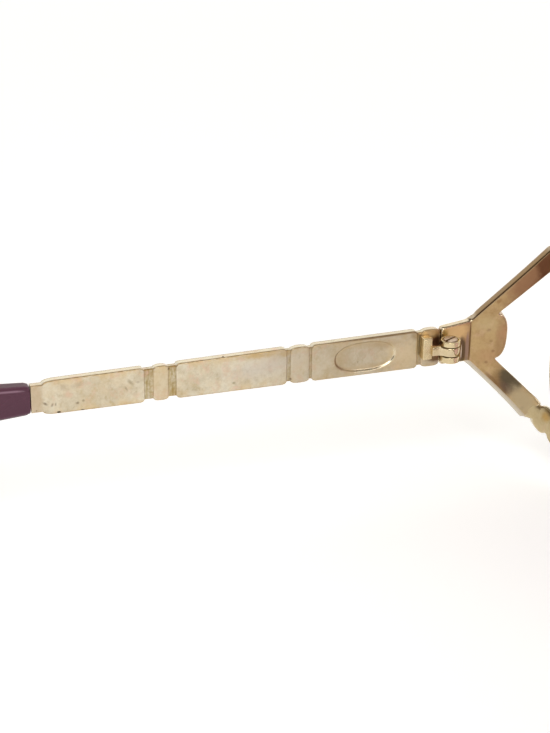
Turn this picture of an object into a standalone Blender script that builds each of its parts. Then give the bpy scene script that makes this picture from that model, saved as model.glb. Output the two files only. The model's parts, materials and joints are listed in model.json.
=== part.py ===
"""Sunglasses with forked endpieces, beaded gold temples and plum temple tips.

The glasses stand open on the lower edge of their rims and on their temple tips.
+X is the wearer's left, -Y is the way the wearer looks, +Z is up.
Sizes are in millimetres and angles in degrees; MM turns a size into the scene's metres.
"""

import math

import bmesh
import bpy
from mathutils import Vector

MM = 0.001

# Lenses and rims
lens_width = 56.0
lens_height = 48.0
bridge_width = 17.0
lens_thickness = 1.6
lens_edge_thickness = 0.8
lens_edge_reach = 1.0
lens_curve_radius = 120.0
lens_centre_above_axis = 1.5
corner_squareness = 3.0
lower_squareness = 2.05
rim_wall = 1.5
rim_lip = 0.7
rim_depth = 2.4
rim_groove_floor = 0.45
rim_fit = 0.3
rim_split = 0.4
rim_end_proud = 0.04
front_tilt = 4.0

# Endpieces: the side part, the fold, the lobed plate and its two arms.
# An ease is how far a curve keeps to the direction of its end.
side_length = 6.0
side_heading = 97.0
fold_radius = 1.0
plate_heading = 70.0
plate_length = 12.4
corner_radius = 2.5
corner_heading = 20.5
sheet_thickness = 1.5
rim_from_corner = 1.5
joint_height = 7.2
fold_height = 8.3
fold_relief = 0.15
joint_rounding = 0.6
notch_reach = 4.8
notch_height = 4.4
lobe_lift = 1.07
lobe_reach = 1.77
lobe_powers = (3.0, 0.6)
upper_arm_slope = 46.4
upper_arm_inner_slope = 44.0
upper_arm_reach = 13.2
upper_arm_inner_reach = 13.9
upper_arm_ease_shares = (0.4, 0.22)
upper_arm_rim_ease = (1.5, 1.2)
lower_arm_slope = 43.5
lower_arm_end_slope = 37.0
lower_arm_end = (13.95, -13.2)
lower_arm_end_width = 3.9
lower_arm_eases = (4.5, 4.0)
lower_arm_inner_ease = 3.5
bead_pitch = 4.75
bead_width = 4.7
bead_waist = 0.62
bead_roundness = 0.6
bead_shrink = 0.1045
bead_count = 5
beads_to_rim = 2.4
chain_slope = 19.5
chain_eases = (4.0, 3.5)
chain_meets_rim = -46.0
brow_arm_start_angle = 38.0
brow_arm_end_angle = 80.0
trim_end_height = 1.1
brow_arm_crown = 0.9
brow_arm_ease_shares = (0.45, 0.3, 0.15)
upper_spread = 0.5
lower_spread = 1.1
spread_angle = 45.0
spread_start = -1.0
spread_end = 13.2
spread_rise = 2.0
lower_spread_fade = 10.0
upper_spread_fade = 18.0

# Temple strip, from the hinge axis backwards
joint_setback = 1.05
joint_gap = 0.3
strip_thickness = 1.75
strip_edge_thickness = 1.4
strip_chamfer = 0.22
strip_crown = 1.1
strip_crown_share = 0.35
height_at_hinge = 7.3
height_at_tip = 6.2
end_bead_length = 3.45
blade_lengths = (20.1, 20.25, 17.5)
bead_lengths = (3.15, 2.5)
groove_lengths = (0.8, 0.6, 0.9, 1.4, 1.9)
groove_depth = 0.32
groove_notch = 0.38
groove_edge_inset = 0.1
groove_wall_run = 0.12
bead_dip = 0.35
bead_dome = 0.25
bead_end_power = 0.35
blade_corner = 0.8
blade_corner_cut = 0.64
last_corner = 2.0
last_corner_cut = 0.6
neck_height = 5.0
neck_length = 2.25
neck_inset = 0.1
core_height = 2.0
core_thickness = 1.2
core_length = 44.0
core_chamfer = 0.25
oval_length = 11.6
oval_height = 5.6
oval_depth = 0.35
oval_rise = 0.35
oval_root = 0.3
raised_oval_share = 0.62

# Temple tips
tip_length = 62.9
tip_mouth_height = 5.4
tip_end_height = 9.6
tip_mouth_thickness = 2.9
tip_end_thickness = 4.2
tip_chamfer = 0.55
tip_rounding = {0.0: 0.93, 0.955: 0.93, 0.985: 0.76, 1.0: 0.5}
tip_fit = 0.3
tip_bore_spare = 2.0
straight_to_bend = 96.0
bend_radius = 26.0

# Hinges
hinge_inset = 2.1
hinge_rise = 0.27
knuckle_radius = 1.8
top_knuckle = 1.0
middle_knuckle = 1.65
bottom_knuckle = 1.15
knuckle_gap = 0.15
hinge_bore = 0.85
hinge_leaf = 1.0
leaf_start = 0.5
leaf_end = 3.6
swing_clearance = 0.25
block_length = 1.8
block_distance = 3.3
block_height = 4.1
block_rise = 0.38
block_depth = 1.6
tongue_depth = 1.2
tongue_inset = 0.02
screw_radius = 0.6
screw_head_radius = 1.25
screw_head_height = 0.4
head_room_radius = 1.45
head_recess = 0.35
slot_width = 0.35
slot_depth = 0.2
slot_turn = 28.0

# Closing blocks
closing_angle = -52.0
closing_block_length = 1.9
closing_block_width = 2.1
closing_block_depth = 2.3
closing_bore = 0.5
closing_screw_radius = 0.3
closing_head_radius = 0.75
closing_head_height = 0.4

# Bridge and brow bar
bridge_height = 9.0
bridge_bar_width = 3.0
bridge_rise = 2.2
bridge_scallop = 0.22
bridge_scallops = 3
bridge_setback = 0.3
brow_bar_width = 3.2
brow_bar_gap_angle = 0.6
brow_bar_end_angle = 122.0
brow_bar_setback = 0.2
brow_bar_eases = (8.0, 2.0)
brow_bar_swells = (1.6, 0.4)
brow_bar_dip = 0.6

# Nose pads
pad_length = 15.0
pad_width = 8.5
pad_thickness = 2.6
pad_egg = 0.06
pad_setback = 8.0
pad_half_distance = 8.0
pad_drop = 3.0
pad_frontal_angle = 28.0
pad_splay_angle = 14.0
pad_arm_radius = 0.55
pad_arm_height = 4.0
pad_arm_eases = (4.5, 3.2)
pad_arm_lean = 0.5
lug_size = 1.0
lug_length = 2.3
lug_width = 1.7
lug_root = 0.8
ear_length = 2.2
ear_height = 1.9
ear_shift = 0.3
ear_thickness = 0.5
ear_gap = 0.25
web_thickness = 0.6
web_step = 0.2
pad_screw_radius = 0.3
pad_screw_bore = 0.5
pad_screw_head_radius = 0.6
pad_screw_head_height = 0.3
pad_screw_head_gap = 0.1

# Clearance of a piece that is soldered or laid against another
seat = 0.2

# How far apart a curved sheet is creased along the front
crease_spacing = 4.0

METALS = {
    "gold": ((0.58, 0.43, 0.24), 0.36, 1.0),
    "hinge_gold": ((0.60, 0.42, 0.21), 0.28, 1.0),
    "screw_metal": ((0.56, 0.50, 0.42), 0.30, 1.0),
}
PLASTICS = {
    "plum_acetate": ((0.060, 0.022, 0.040), 0.22, 0.0),
    "pad_silicone": ((0.80, 0.78, 0.72), 0.35, 0.0),
    "tinted_lens": ((0.13, 0.05, 0.08), 0.05, 0.0),
}


def make_materials():
    made = {}
    for name, (colour, roughness, metallic) in {**METALS, **PLASTICS}.items():
        material = bpy.data.materials.new(name)
        material.use_nodes = True
        shader = material.node_tree.nodes["Principled BSDF"]
        shader.inputs["Base Color"].default_value = (*colour, 1.0)
        shader.inputs["Roughness"].default_value = roughness
        shader.inputs["Metallic"].default_value = metallic
        material.diffuse_color = (*colour, 1.0)
        made[name] = material
    return made


# Meshes

def closed_mesh(name, points, faces):
    """A mesh from points in millimetres, with its faces turned outwards."""
    mesh = bpy.data.meshes.new(name)
    work = bmesh.new()
    corners = [work.verts.new(Vector(point) * MM) for point in points]
    for face in faces:
        work.faces.new([corners[index] for index in face])
    bmesh.ops.recalc_face_normals(work, faces=work.faces)
    work.to_mesh(mesh)
    work.free()
    return mesh


def tube(rings, closed=False):
    """Points and faces of a body through rings of equal size, capped at both ends unless it is closed."""
    count = len(rings[0])
    points = [point for ring in rings for point in ring]
    faces = []
    steps = len(rings) if closed else len(rings) - 1
    for step in range(steps):
        here = step * count
        there = ((step + 1) % len(rings)) * count
        for index in range(count):
            after = (index + 1) % count
            faces.append((here + index, here + after, there + after, there + index))
    if not closed:
        faces.append(tuple(range(count)))
        faces.append(tuple(range(len(points) - count, len(points))))
    return points, faces


def place(name, mesh, material, parent=None, sharp_angle=35.0):
    """An object for a mesh that is in world millimetre places; its origin is its parent's axis."""
    piece = bpy.data.objects.new(name, mesh)
    bpy.context.collection.objects.link(piece)
    mesh.materials.clear()
    mesh.materials.append(material)
    mesh.shade_smooth()
    mesh.set_sharp_from_angle(angle=math.radians(sharp_angle))
    if parent:
        for vertex in mesh.vertices:
            vertex.co -= parent.location
        piece.parent = parent
    return piece


def axis_empty(name, point):
    empty = bpy.data.objects.new(name, None)
    empty.location = Vector(point) * MM
    bpy.context.collection.objects.link(empty)
    return empty


def combine(base, others, operation):
    """The mesh left when each of the other meshes is joined to the base or cut from it."""
    body = bpy.data.objects.new("work", base)
    bpy.context.collection.objects.link(body)
    tools = []
    for other in others:
        tool = bpy.data.objects.new("tool", other)
        bpy.context.collection.objects.link(tool)
        modifier = body.modifiers.new("combine", "BOOLEAN")
        modifier.operation = operation
        modifier.solver = "EXACT"
        modifier.object = tool
        tools.append(tool)
    bpy.context.view_layer.update()
    result = bpy.data.meshes.new_from_object(body.evaluated_get(bpy.context.evaluated_depsgraph_get()))
    for used in (body, *tools):
        bpy.data.objects.remove(used)
    return result


def box(low, high):
    points = [(x, y, z) for x in (low[0], high[0]) for y in (low[1], high[1]) for z in (low[2], high[2])]
    faces = [(0, 1, 3, 2), (4, 6, 7, 5), (0, 4, 5, 1), (2, 3, 7, 6), (0, 2, 6, 4), (1, 5, 7, 3)]
    return closed_mesh("box", points, faces)


def turned(profile, centre, axis, sides=24):
    """A body turned round an axis from (radius, distance along the axis) pairs."""
    along = Vector(axis).normalized()
    across = along.orthogonal().normalized()
    third = along.cross(across)
    rings = []
    for radius, distance in profile:
        ring = []
        for index in range(sides):
            turn = 2 * math.pi * index / sides
            spoke = across * math.cos(turn) + third * math.sin(turn)
            ring.append(Vector(centre) + along * distance + spoke * radius)
        rings.append(ring)
    return closed_mesh("turned", *tube(rings))


def oriented_box(centre, axes, sizes):
    """A box whose three axes and full sizes are given."""
    middle = Vector(centre)
    points = []
    for i in (-0.5, 0.5):
        for j in (-0.5, 0.5):
            for k in (-0.5, 0.5):
                reach = axes[0] * (i * sizes[0]) + axes[1] * (j * sizes[1]) + axes[2] * (k * sizes[2])
                points.append(middle + reach)
    faces = [(0, 1, 3, 2), (4, 6, 7, 5), (0, 4, 5, 1), (2, 3, 7, 6), (0, 2, 6, 4), (1, 5, 7, 3)]
    return closed_mesh("box", points, faces)


# Plan curve of the front: the back face seen from above, from the joint to the nose

def plan_pieces():
    """(length, heading at its start, heading at its end) of each stretch."""
    fold = math.radians(side_heading - plate_heading) * fold_radius
    corner = math.radians(plate_heading - corner_heading) * corner_radius
    front = rim_from_corner + rim_wall + lens_width
    nose_heading = corner_heading - math.degrees(front / lens_curve_radius)
    return (
        (side_length, side_heading, side_heading),
        (fold, side_heading, plate_heading),
        (plate_length, plate_heading, plate_heading),
        (corner, plate_heading, corner_heading),
        (front, corner_heading, nose_heading),
    )


PLAN = plan_pieces()
FOLD_START = side_length
FOLD_MIDDLE = side_length + PLAN[1][0] / 2
FOLD_END = side_length + PLAN[1][0]
CORNER_START = FOLD_END + plate_length
CORNER_END = CORNER_START + PLAN[3][0]
NOSE_END = CORNER_END + PLAN[4][0]
LENS_CENTRE = NOSE_END - lens_width / 2


def plan_point(distance):
    """Place (x, y) from the joint and heading in radians, at a distance along the plan curve."""
    x = y = 0.0
    left = distance
    for index, (length, start, end) in enumerate(PLAN):
        part = left if index == len(PLAN) - 1 else min(left, length)
        turn = math.radians(end - start) / length
        first = math.radians(start)
        last = first + turn * part
        if abs(turn) < 1e-9:
            x -= math.cos(first) * part
            y -= math.sin(first) * part
        else:
            x -= (math.sin(last) - math.sin(first)) / turn
            y += (math.cos(last) - math.cos(first)) / turn
        left -= part
        if left <= 0:
            break
    return x, y, last


# x of the temple's inner face, so that the lenses end up one bridge width apart
STRIP_X = bridge_width / 2 - plan_point(NOSE_END)[0]


def front_share(distance):
    """0 on the side part, 1 on the front, and between them along the plate."""
    return min(max((distance - FOLD_END) / (CORNER_START - FOLD_END), 0.0), 1.0)


def upright_shift(distance, height):
    """How far the front's tilt and its upright curve move a point back."""
    bulge = (height - lens_centre_above_axis) ** 2 / (2 * lens_curve_radius)
    tilt = math.tan(math.radians(front_tilt)) * height
    return front_share(distance) * (bulge - tilt)


def front_reach():
    """Distance from the joint to the foremost point of the front."""
    reach = 0.0
    for step in range(41):
        distance = CORNER_END + (NOSE_END - CORNER_END) * step / 40
        _, y, heading = plan_point(distance)
        for height in (lens_centre_above_axis, lens_centre_above_axis + lens_height / 2 + rim_wall):
            shift = upright_shift(distance, height)
            reach = min(reach, y + shift - rim_depth * math.cos(heading))
    return -reach


# Temple path: straight back, then bent down behind the ear

def path_point(distance, bend):
    """Place (y, z) from the hinge axis and the downward angle, at a distance along the temple."""
    if distance <= straight_to_bend:
        return distance, 0.0, 0.0
    arc = bend * bend_radius
    if distance <= straight_to_bend + arc:
        turn = (distance - straight_to_bend) / bend_radius
        return straight_to_bend + bend_radius * math.sin(turn), -bend_radius * (1 - math.cos(turn)), turn
    rest = distance - straight_to_bend - arc
    y = straight_to_bend + bend_radius * math.sin(bend) + rest * math.cos(bend)
    z = -bend_radius * (1 - math.cos(bend)) - rest * math.sin(bend)
    return y, z, bend


def strip_half_height(distance):
    share = distance / STRIP_END
    return (height_at_hinge + (height_at_tip - height_at_hinge) * share) / 2


STRIP_START = joint_setback + joint_gap / 2
STRIP_END = STRIP_START + end_bead_length + sum(blade_lengths) + sum(bead_lengths) + sum(groove_lengths)
OVAL_CENTRE = STRIP_START + end_bead_length + groove_lengths[0] + blade_lengths[0] / 2
TIP_START = STRIP_END + neck_length
TIP_END = TIP_START + tip_length


def tip_stations():
    """(distance, half height, half thickness) of the sleeve's outside."""
    stations = []
    for share in (0.0, 0.08, 0.2, 0.32, 0.42, 0.52, 0.62, 0.72, 0.82, 0.9, 0.955, 0.985, 1.0):
        grown = 1 - (1 - share) ** 2
        half_height = (tip_mouth_height + (tip_end_height - tip_mouth_height) * grown) / 2
        half_thickness = (tip_mouth_thickness + (tip_end_thickness - tip_mouth_thickness) * grown) / 2
        rounding = tip_rounding.get(share, 1.0)
        stations.append((TIP_START + share * tip_length, half_height * rounding, half_thickness * rounding))
    return stations


def lowest_of_tip(bend):
    lowest = 0.0
    for distance, half_height, _ in tip_stations():
        _, z, angle = path_point(distance, bend)
        lowest = min(lowest, z - half_height * math.cos(angle))
    return lowest


# Height of the temples over the table: the rims' lower edge stands on it
AXIS_Z = lens_height / 2 + rim_wall - lens_centre_above_axis


def bend_to_table():
    """Bend that brings the tips down to the table."""
    low, high = 0.0, math.radians(80)
    for _ in range(50):
        middle = (low + high) / 2
        if lowest_of_tip(middle) > -AXIS_Z:
            low = middle
        else:
            high = middle
    return low


BEND = bend_to_table()


def temple_reach():
    """Distance from the hinge axis to the rearmost point of the tips."""
    reach = 0.0
    for distance, half_height, _ in tip_stations():
        y, _, angle = path_point(distance, BEND)
        reach = max(reach, y + half_height * math.sin(angle))
    return reach


JOINT_TO_AXIS = joint_setback - joint_gap / 2
HINGE_Y = (front_reach() - JOINT_TO_AXIS - temple_reach()) / 2
HINGE_X = STRIP_X - hinge_inset


def front_place(distance, height, depth, side):
    """World place of a point on the front: distance along the plan, height over the axis, depth forwards."""
    x, y, heading = plan_point(distance)
    x += STRIP_X + depth * math.sin(heading)
    y += HINGE_Y + JOINT_TO_AXIS - depth * math.cos(heading) + upright_shift(distance, height)
    return Vector((side * x, y, AXIS_Z + height))


def centre_place(across, height, depth):
    """World place of a point on a piece that crosses the nose; across is measured from the middle."""
    side = 1 if across >= 0 else -1
    beyond = abs(across) - bridge_width / 2
    if beyond >= 0:
        return front_place(NOSE_END - beyond, height, depth, side)
    place_at_nose = front_place(NOSE_END, height, depth, side)
    return Vector((place_at_nose.x * abs(across) / (bridge_width / 2), place_at_nose.y, place_at_nose.z))


def temple_place(distance, across, height, side):
    """World place of a point on a temple: distance from the hinge axis, across from the inner face outwards."""
    y, z, angle = path_point(distance, BEND)
    return Vector((
        side * (STRIP_X + across),
        HINGE_Y + y + height * math.sin(angle),
        AXIS_Z + z + height * math.cos(angle),
    ))


# Outline of a lens

def lens_outline_point(degrees):
    """Point (towards the temple, upwards) on the lens edge, from the lens centre."""
    angle = math.radians(degrees)
    c, s = math.cos(angle), math.sin(angle)
    power = lower_squareness if s < 0 else corner_squareness
    a = math.copysign(abs(c) ** (2 / power), c) * lens_width / 2
    b = math.copysign(abs(s) ** (2 / power), s) * lens_height / 2
    return a, b


def edge_stretch(start, end, count, offset=0.0):
    """Evenly spaced points along the lens edge, moved outwards, with their outward direction."""
    fine = [lens_outline_point(start + (end - start) * i / 1440) for i in range(1441)]
    lengths = [0.0]
    for first, second in zip(fine, fine[1:]):
        lengths.append(lengths[-1] + math.dist(first, second))
    turn = 1 if end > start else -1
    around = 4
    result = []
    step = 0
    for index in range(count):
        wanted = lengths[-1] * index / (count - 1)
        while step < len(fine) - 2 and lengths[step + 1] < wanted:
            step += 1
        share = (wanted - lengths[step]) / max(lengths[step + 1] - lengths[step], 1e-9)
        a = fine[step][0] + (fine[step + 1][0] - fine[step][0]) * share
        b = fine[step][1] + (fine[step + 1][1] - fine[step][1]) * share
        low, high = max(step - around, 0), min(step + around + 1, len(fine) - 1)
        da, db = fine[high][0] - fine[low][0], fine[high][1] - fine[low][1]
        size = math.hypot(da, db)
        out_a, out_b = turn * db / size, -turn * da / size
        result.append((a + out_a * offset, b + out_b * offset, out_a, out_b))
    return result


def on_front(a, b):
    """Plan distance and height of a point given from the lens centre."""
    return LENS_CENTRE - a, lens_centre_above_axis + b


# Flat sheets that are folded round the plan curve

def sheet(outline, near, far, put, cuts, height_cuts=()):
    """A sheet with the outline (distance, height), between two depths, bent where it is cut."""
    work = bmesh.new()
    corners = [work.verts.new((distance, height, 0.0)) for distance, height in outline]
    work.faces.new(corners)
    for cut in cuts:
        everything = work.verts[:] + work.edges[:] + work.faces[:]
        bmesh.ops.bisect_plane(work, geom=everything, dist=1e-5, plane_co=(cut, 0, 0), plane_no=(1, 0, 0))
    for cut in height_cuts:
        everything = work.verts[:] + work.edges[:] + work.faces[:]
        bmesh.ops.bisect_plane(work, geom=everything, dist=1e-5, plane_co=(0, cut, 0), plane_no=(0, 1, 0))
    bmesh.ops.triangulate(work, faces=work.faces[:])
    work.verts.index_update()
    flat = [vertex.co.copy() for vertex in work.verts]
    triangles = [tuple(vertex.index for vertex in face.verts) for face in work.faces]
    border = []
    for edge in work.edges:
        if len(edge.link_faces) == 1:
            border.append((edge.verts[0].index, edge.verts[1].index))
    work.free()
    count = len(flat)
    points = [put(p.x, p.y, near) for p in flat] + [put(p.x, p.y, far) for p in flat]
    faces = [tri[::-1] for tri in triangles]
    faces += [tuple(index + count for index in tri) for tri in triangles]
    faces += [(first, second, second + count, first + count) for first, second in border]
    return closed_mesh("sheet", points, faces)


def front_cuts(first, last):
    """Plan distances at which a sheet bends: fine at the fold and the corner, coarse along the front."""
    cuts = [FOLD_START + (FOLD_END - FOLD_START) * i / 3 for i in range(4)]
    cuts += [FOLD_END + plate_length * i / 3 for i in (1, 2)]
    cuts += [CORNER_START + (CORNER_END - CORNER_START) * i / 5 for i in range(6)]
    count = int((NOSE_END - CORNER_END) / crease_spacing)
    cuts += [CORNER_END + (NOSE_END - CORNER_END) * i / count for i in range(1, count)]
    return [cut for cut in cuts if first < cut < last]


def bezier(start, start_handle, end_handle, end, count):
    """Points of a cubic curve, without its first point."""
    points = []
    for index in range(1, count + 1):
        t = index / count
        u = 1 - t
        weights = (u * u * u, 3 * u * u * t, 3 * u * t * t, t * t * t)
        points.append(tuple(
            sum(weight * point[axis] for weight, point in zip(weights, (start, start_handle, end_handle, end)))
            for axis in (0, 1)
        ))
    return points


# Pieces of one side; side is 1 for the wearer's left and -1 for the right

def rim_mesh(side):
    """Grooved wire round the lens, split at the closing block, which stands behind it."""
    section = (
        (rim_wall, 0.0), (rim_wall, rim_depth), (-rim_lip, rim_depth),
        (-rim_lip, groove_front()), (rim_groove_floor, groove_front()),
        (rim_groove_floor, groove_back()), (-rim_lip, groove_back()), (-rim_lip, 0.0),
    )
    per_degree = math.dist(lens_outline_point(closing_angle - 1), lens_outline_point(closing_angle + 1)) / 2
    opening = (rim_split / 2 - rim_end_proud) / per_degree
    rings = []
    for a, b, out_a, out_b in edge_stretch(closing_angle + opening, closing_angle + 360 - opening, 73):
        ring = []
        for reach, depth in section:
            distance, height = on_front(a + out_a * reach, b + out_b * reach)
            ring.append(front_place(distance, height, depth, side))
        rings.append(ring)
    ring_mesh = closed_mesh("rim", *tube(rings))
    halves = []
    for turn in (-1, 1):
        centre, axes = closing_frame(side)
        middle = centre + axes[0] * turn * (rim_split + closing_block_length) / 2
        middle -= axes[2] * (closing_block_depth - seat) / 2
        halves.append(oriented_box(
            middle, axes, (closing_block_length, closing_block_width, closing_block_depth + seat)))
    joined = combine(ring_mesh, halves, "UNION")
    centre, axes = closing_frame(side)
    middle = centre - axes[2] * closing_block_depth / 2
    reach = closing_block_length + rim_split
    bore = turned(((closing_bore, -reach), (closing_bore, reach)), middle, axes[0], 12)
    return combine(joined, [bore], "DIFFERENCE")


def groove_front():
    return rim_depth / 2 + lens_edge_thickness / 2 + rim_fit


def groove_back():
    return rim_depth / 2 - lens_edge_thickness / 2 - rim_fit


def closing_frame(side):
    """Middle of the rim's back face where it is split, and its axes: along the rim, outwards, forwards."""
    a, b, out_a, out_b = edge_stretch(closing_angle - 1, closing_angle + 1, 3)[1]
    middle_reach = (rim_wall - rim_lip) / 2
    points = []
    for reach, along in ((0.0, 0.0), (1.0, 0.0), (0.0, 1.0)):
        distance, height = on_front(
            a + out_a * (middle_reach + reach) - out_b * along,
            b + out_b * (middle_reach + reach) + out_a * along)
        points.append(front_place(distance, height, 0.0, side))
    outwards = (points[1] - points[0]).normalized()
    along = (points[2] - points[0]).normalized()
    forwards = outwards.cross(along).normalized()
    if forwards.y > 0:
        forwards.negate()
    along = forwards.cross(outwards).normalized()
    return points[0], (along, outwards, forwards)


def closing_screw_mesh(side):
    """Small screw through both halves of the closing block."""
    centre, axes = closing_frame(side)
    middle = centre - axes[2] * closing_block_depth / 2
    half = rim_split / 2 + closing_block_length
    top = half + knuckle_gap
    profile = (
        (closing_screw_radius, -half), (closing_screw_radius, top),
        (closing_head_radius, top), (closing_head_radius, top + closing_head_height * 0.7),
        (closing_head_radius * 0.8, top + closing_head_height),
    )
    return turned(profile, middle, axes[0], 16)


def lens_mesh(side):
    """Curved lens with a thin edge that lies in the rim's groove."""
    middle = rim_depth / 2
    shoulder = edge_stretch(0, 360, 73, offset=-lens_edge_reach)[:-1]
    edge = edge_stretch(0, 360, 73, offset=rim_groove_floor - rim_fit)[:-1]
    rings = []

    def ring(points, share, depth):
        placed = []
        for a, b, _, _ in points:
            distance, height = on_front(a * share, b * share)
            placed.append(front_place(distance, height, depth, side))
        rings.append(placed)

    front, back = middle + lens_thickness / 2, middle - lens_thickness / 2
    edge_front, edge_back = middle + lens_edge_thickness / 2, middle - lens_edge_thickness / 2
    for share in (0.12, 0.35, 0.58, 0.8, 1.0):
        ring(shoulder, share, front)
    ring(shoulder, 1.0, edge_front)
    ring(edge, 1.0, edge_front)
    ring(edge, 1.0, edge_back)
    ring(shoulder, 1.0, edge_back)
    for share in (1.0, 0.8, 0.58, 0.35, 0.12):
        ring(shoulder, share, back)
    return closed_mesh("lens", *tube(rings))


def endpiece_outline():
    """Flat outline of the endpiece: side part, lobed plate, upper arm to the rim's top, beaded lower arm."""
    fold_half = fold_height / 2
    joint_half = joint_height / 2
    notch = FOLD_MIDDLE + notch_reach
    notch_top = lobe_lift + notch_height
    notch_bottom = lobe_lift - notch_height

    lower = [(joint_rounding, -joint_half), (FOLD_START, -fold_half + fold_relief)]
    first = slope_step(lower_arm_slope)
    last = slope_step(lower_arm_end_slope)
    middle = (FOLD_MIDDLE + lower_arm_end[0], lower_arm_end[1])
    half = lower_arm_end_width / 2
    outer_end = (middle[0] + last[1] * half, middle[1] - last[0] * half)
    inner_end = (middle[0] - last[1] * half, middle[1] + last[0] * half)
    fold_point = (FOLD_MIDDLE, -fold_half)
    notch_point = (notch, notch_bottom)
    lower.append(fold_point)
    lower += bezier(fold_point, moved(fold_point, first, lower_arm_eases[0]),
                    moved(outer_end, last, -lower_arm_eases[1]), outer_end, 5)
    outer, inner = bead_chain(middle)
    lower += outer + inner[::-1]
    lower.append(inner_end)
    lower += bezier(inner_end, moved(inner_end, last, -lower_arm_inner_ease),
                    moved(notch_point, first, lower_arm_inner_ease), notch_point, 5)

    lobe = []
    for index in range(1, 12):
        share = -1 + 2 * index / 12
        bulge = (1 - abs(share) ** lobe_powers[0]) ** lobe_powers[1]
        lobe.append((notch + lobe_reach * bulge, lobe_lift + notch_height * share))

    upper = [(notch, notch_top)]
    outer_rise = math.tan(math.radians(upper_arm_slope))
    inner_rise = math.tan(math.radians(upper_arm_inner_slope))
    outer_corner = (FOLD_MIDDLE + upper_arm_reach, fold_half + upper_arm_reach * outer_rise)
    inner_reach = upper_arm_inner_reach - notch_reach
    inner_corner = (notch + inner_reach, notch_top + inner_reach * inner_rise)
    upper.append(inner_corner)
    hug = edge_stretch(brow_arm_start_angle, brow_arm_end_angle, 18, rim_wall + seat)
    meets = on_front(hug[0][0], hug[0][1])
    lean = meets[0] - inner_corner[0]
    along, up = upper_arm_ease_shares
    handle = (inner_corner[0] + lean * along, inner_corner[1] + abs(lean) * up)
    rim_handle = (meets[0] - upper_arm_rim_ease[0], meets[1] - upper_arm_rim_ease[1])
    upper += bezier(inner_corner, handle, rim_handle, meets, 5)
    upper += [on_front(a, b) for a, b, _, _ in hug[1:]]
    tip_a, tip_b, out_a, out_b = hug[-1]
    tip = on_front(tip_a + out_a * trim_end_height, tip_b + out_b * trim_end_height)
    upper.append(tip)
    reach = tip[0] - outer_corner[0]
    over, along, up = brow_arm_ease_shares
    upper += bezier(
        tip, (tip[0] - reach * over, tip[1] + brow_arm_crown),
        (outer_corner[0] + reach * along, outer_corner[1] + reach * up), outer_corner, 10)
    upper.append((FOLD_MIDDLE, fold_half))
    upper.append((FOLD_START, fold_half - fold_relief))
    upper.append((joint_rounding, joint_half))
    upper.append((0.0, joint_half - joint_rounding))
    upper.append((0.0, -joint_half + joint_rounding))
    return lower + lobe + upper


def slope_step(degrees):
    """One millimetre along the plan and down a slope."""
    slope = math.radians(degrees)
    return math.cos(slope), -math.sin(slope)


def moved(point, step, count):
    return point[0] + step[0] * count, point[1] + step[1] * count


def bead_share(distance):
    """Size of the beads at a distance along their chain, as a share of the first one's."""
    return 1 - bead_shrink * distance / bead_pitch


def chain_route(start):
    """Middle line of the chain: from the lower arm to the rim, then round it."""
    route = [start]
    step = slope_step(chain_slope)
    meets, ahead = [on_front(*rim_side(angle)) for angle in (chain_meets_rim, chain_meets_rim - 1)]
    size = math.dist(meets, ahead)
    along = ((ahead[0] - meets[0]) / size, (ahead[1] - meets[1]) / size)
    route += bezier(start, moved(start, step, chain_eases[0]), moved(meets, along, -chain_eases[1]), meets, 24)
    for index in range(1, 60):
        route.append(on_front(*rim_side(chain_meets_rim - index * 0.6)))
    return route


def rim_side(angle):
    """Point where the middle of the chain passes the rim at an angle."""
    a, b, out_a, out_b = edge_stretch(angle + 0.2, angle - 0.2, 3)[1]
    travelled = (chain_meets_rim - angle) * lens_width / 2 * math.radians(1) + bead_pitch * beads_to_rim
    offset = rim_wall + seat + bead_width / 2 * bead_share(travelled)
    return a + out_a * offset, b + out_b * offset


def bead_chain(start):
    """Outer and inner edge of the beads that carry the lower arm on round the rim."""
    route = chain_route(start)
    outer, inner = [], []
    travelled = 0.0
    step = 0
    wanted = 0.0
    steps_per_bead = 8
    for index in range(bead_count * steps_per_bead + 1):
        while step < len(route) - 2 and travelled + math.dist(route[step], route[step + 1]) < wanted:
            travelled += math.dist(route[step], route[step + 1])
            step += 1
        size = math.dist(route[step], route[step + 1])
        dx = (route[step + 1][0] - route[step][0]) / size
        dz = (route[step + 1][1] - route[step][1]) / size
        x = route[step][0] + dx * (wanted - travelled)
        z = route[step][1] + dz * (wanted - travelled)
        swell = abs(math.sin(math.pi * index / steps_per_bead)) ** bead_roundness
        half = bead_width / 2 * bead_share(wanted) * (bead_waist + (1 - bead_waist) * swell)
        outer.append((x + dz * half, z - dx * half))
        inner.append((x - dz * half, z + dx * half))
        wanted += bead_pitch / steps_per_bead * bead_share(wanted)
    return outer, inner


def spread(distance, height):
    """How far the fork's outer face is set away from its gap, along the plan and upwards."""
    beyond_fold = distance - FOLD_MIDDLE
    side_share = min(max((height - lobe_lift) / notch_height, -1.0), 1.0)
    size = upper_spread + (lower_spread - upper_spread) * max(-side_share, 0.0)
    size *= min(max((beyond_fold - spread_start) / spread_rise, 0.0), 1.0)
    fade = lower_spread_fade if height < 0 else upper_spread_fade
    size *= min(max(1 - (beyond_fold - spread_end) / fade, 0.0), 1.0)
    angle = math.radians(spread_angle)
    return -size * math.sin(angle), size * math.cos(angle) * side_share


def endpiece_mesh(side):
    outline = endpiece_outline()
    last = max(point[0] for point in outline)

    def put(distance, height, depth):
        along, up = spread(distance, height)
        share = depth / sheet_thickness
        return front_place(distance + along * share, height + up * share, depth, side)

    heights = [lens_centre_above_axis + lens_height * share for share in (-0.4, -0.3, 0.2, 0.3, 0.4)]
    return sheet(outline, 0.0, sheet_thickness, put, front_cuts(0.0, last), heights)


def hinge_centre(side):
    return Vector((side * HINGE_X, HINGE_Y, AXIS_Z + hinge_rise))


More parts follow.
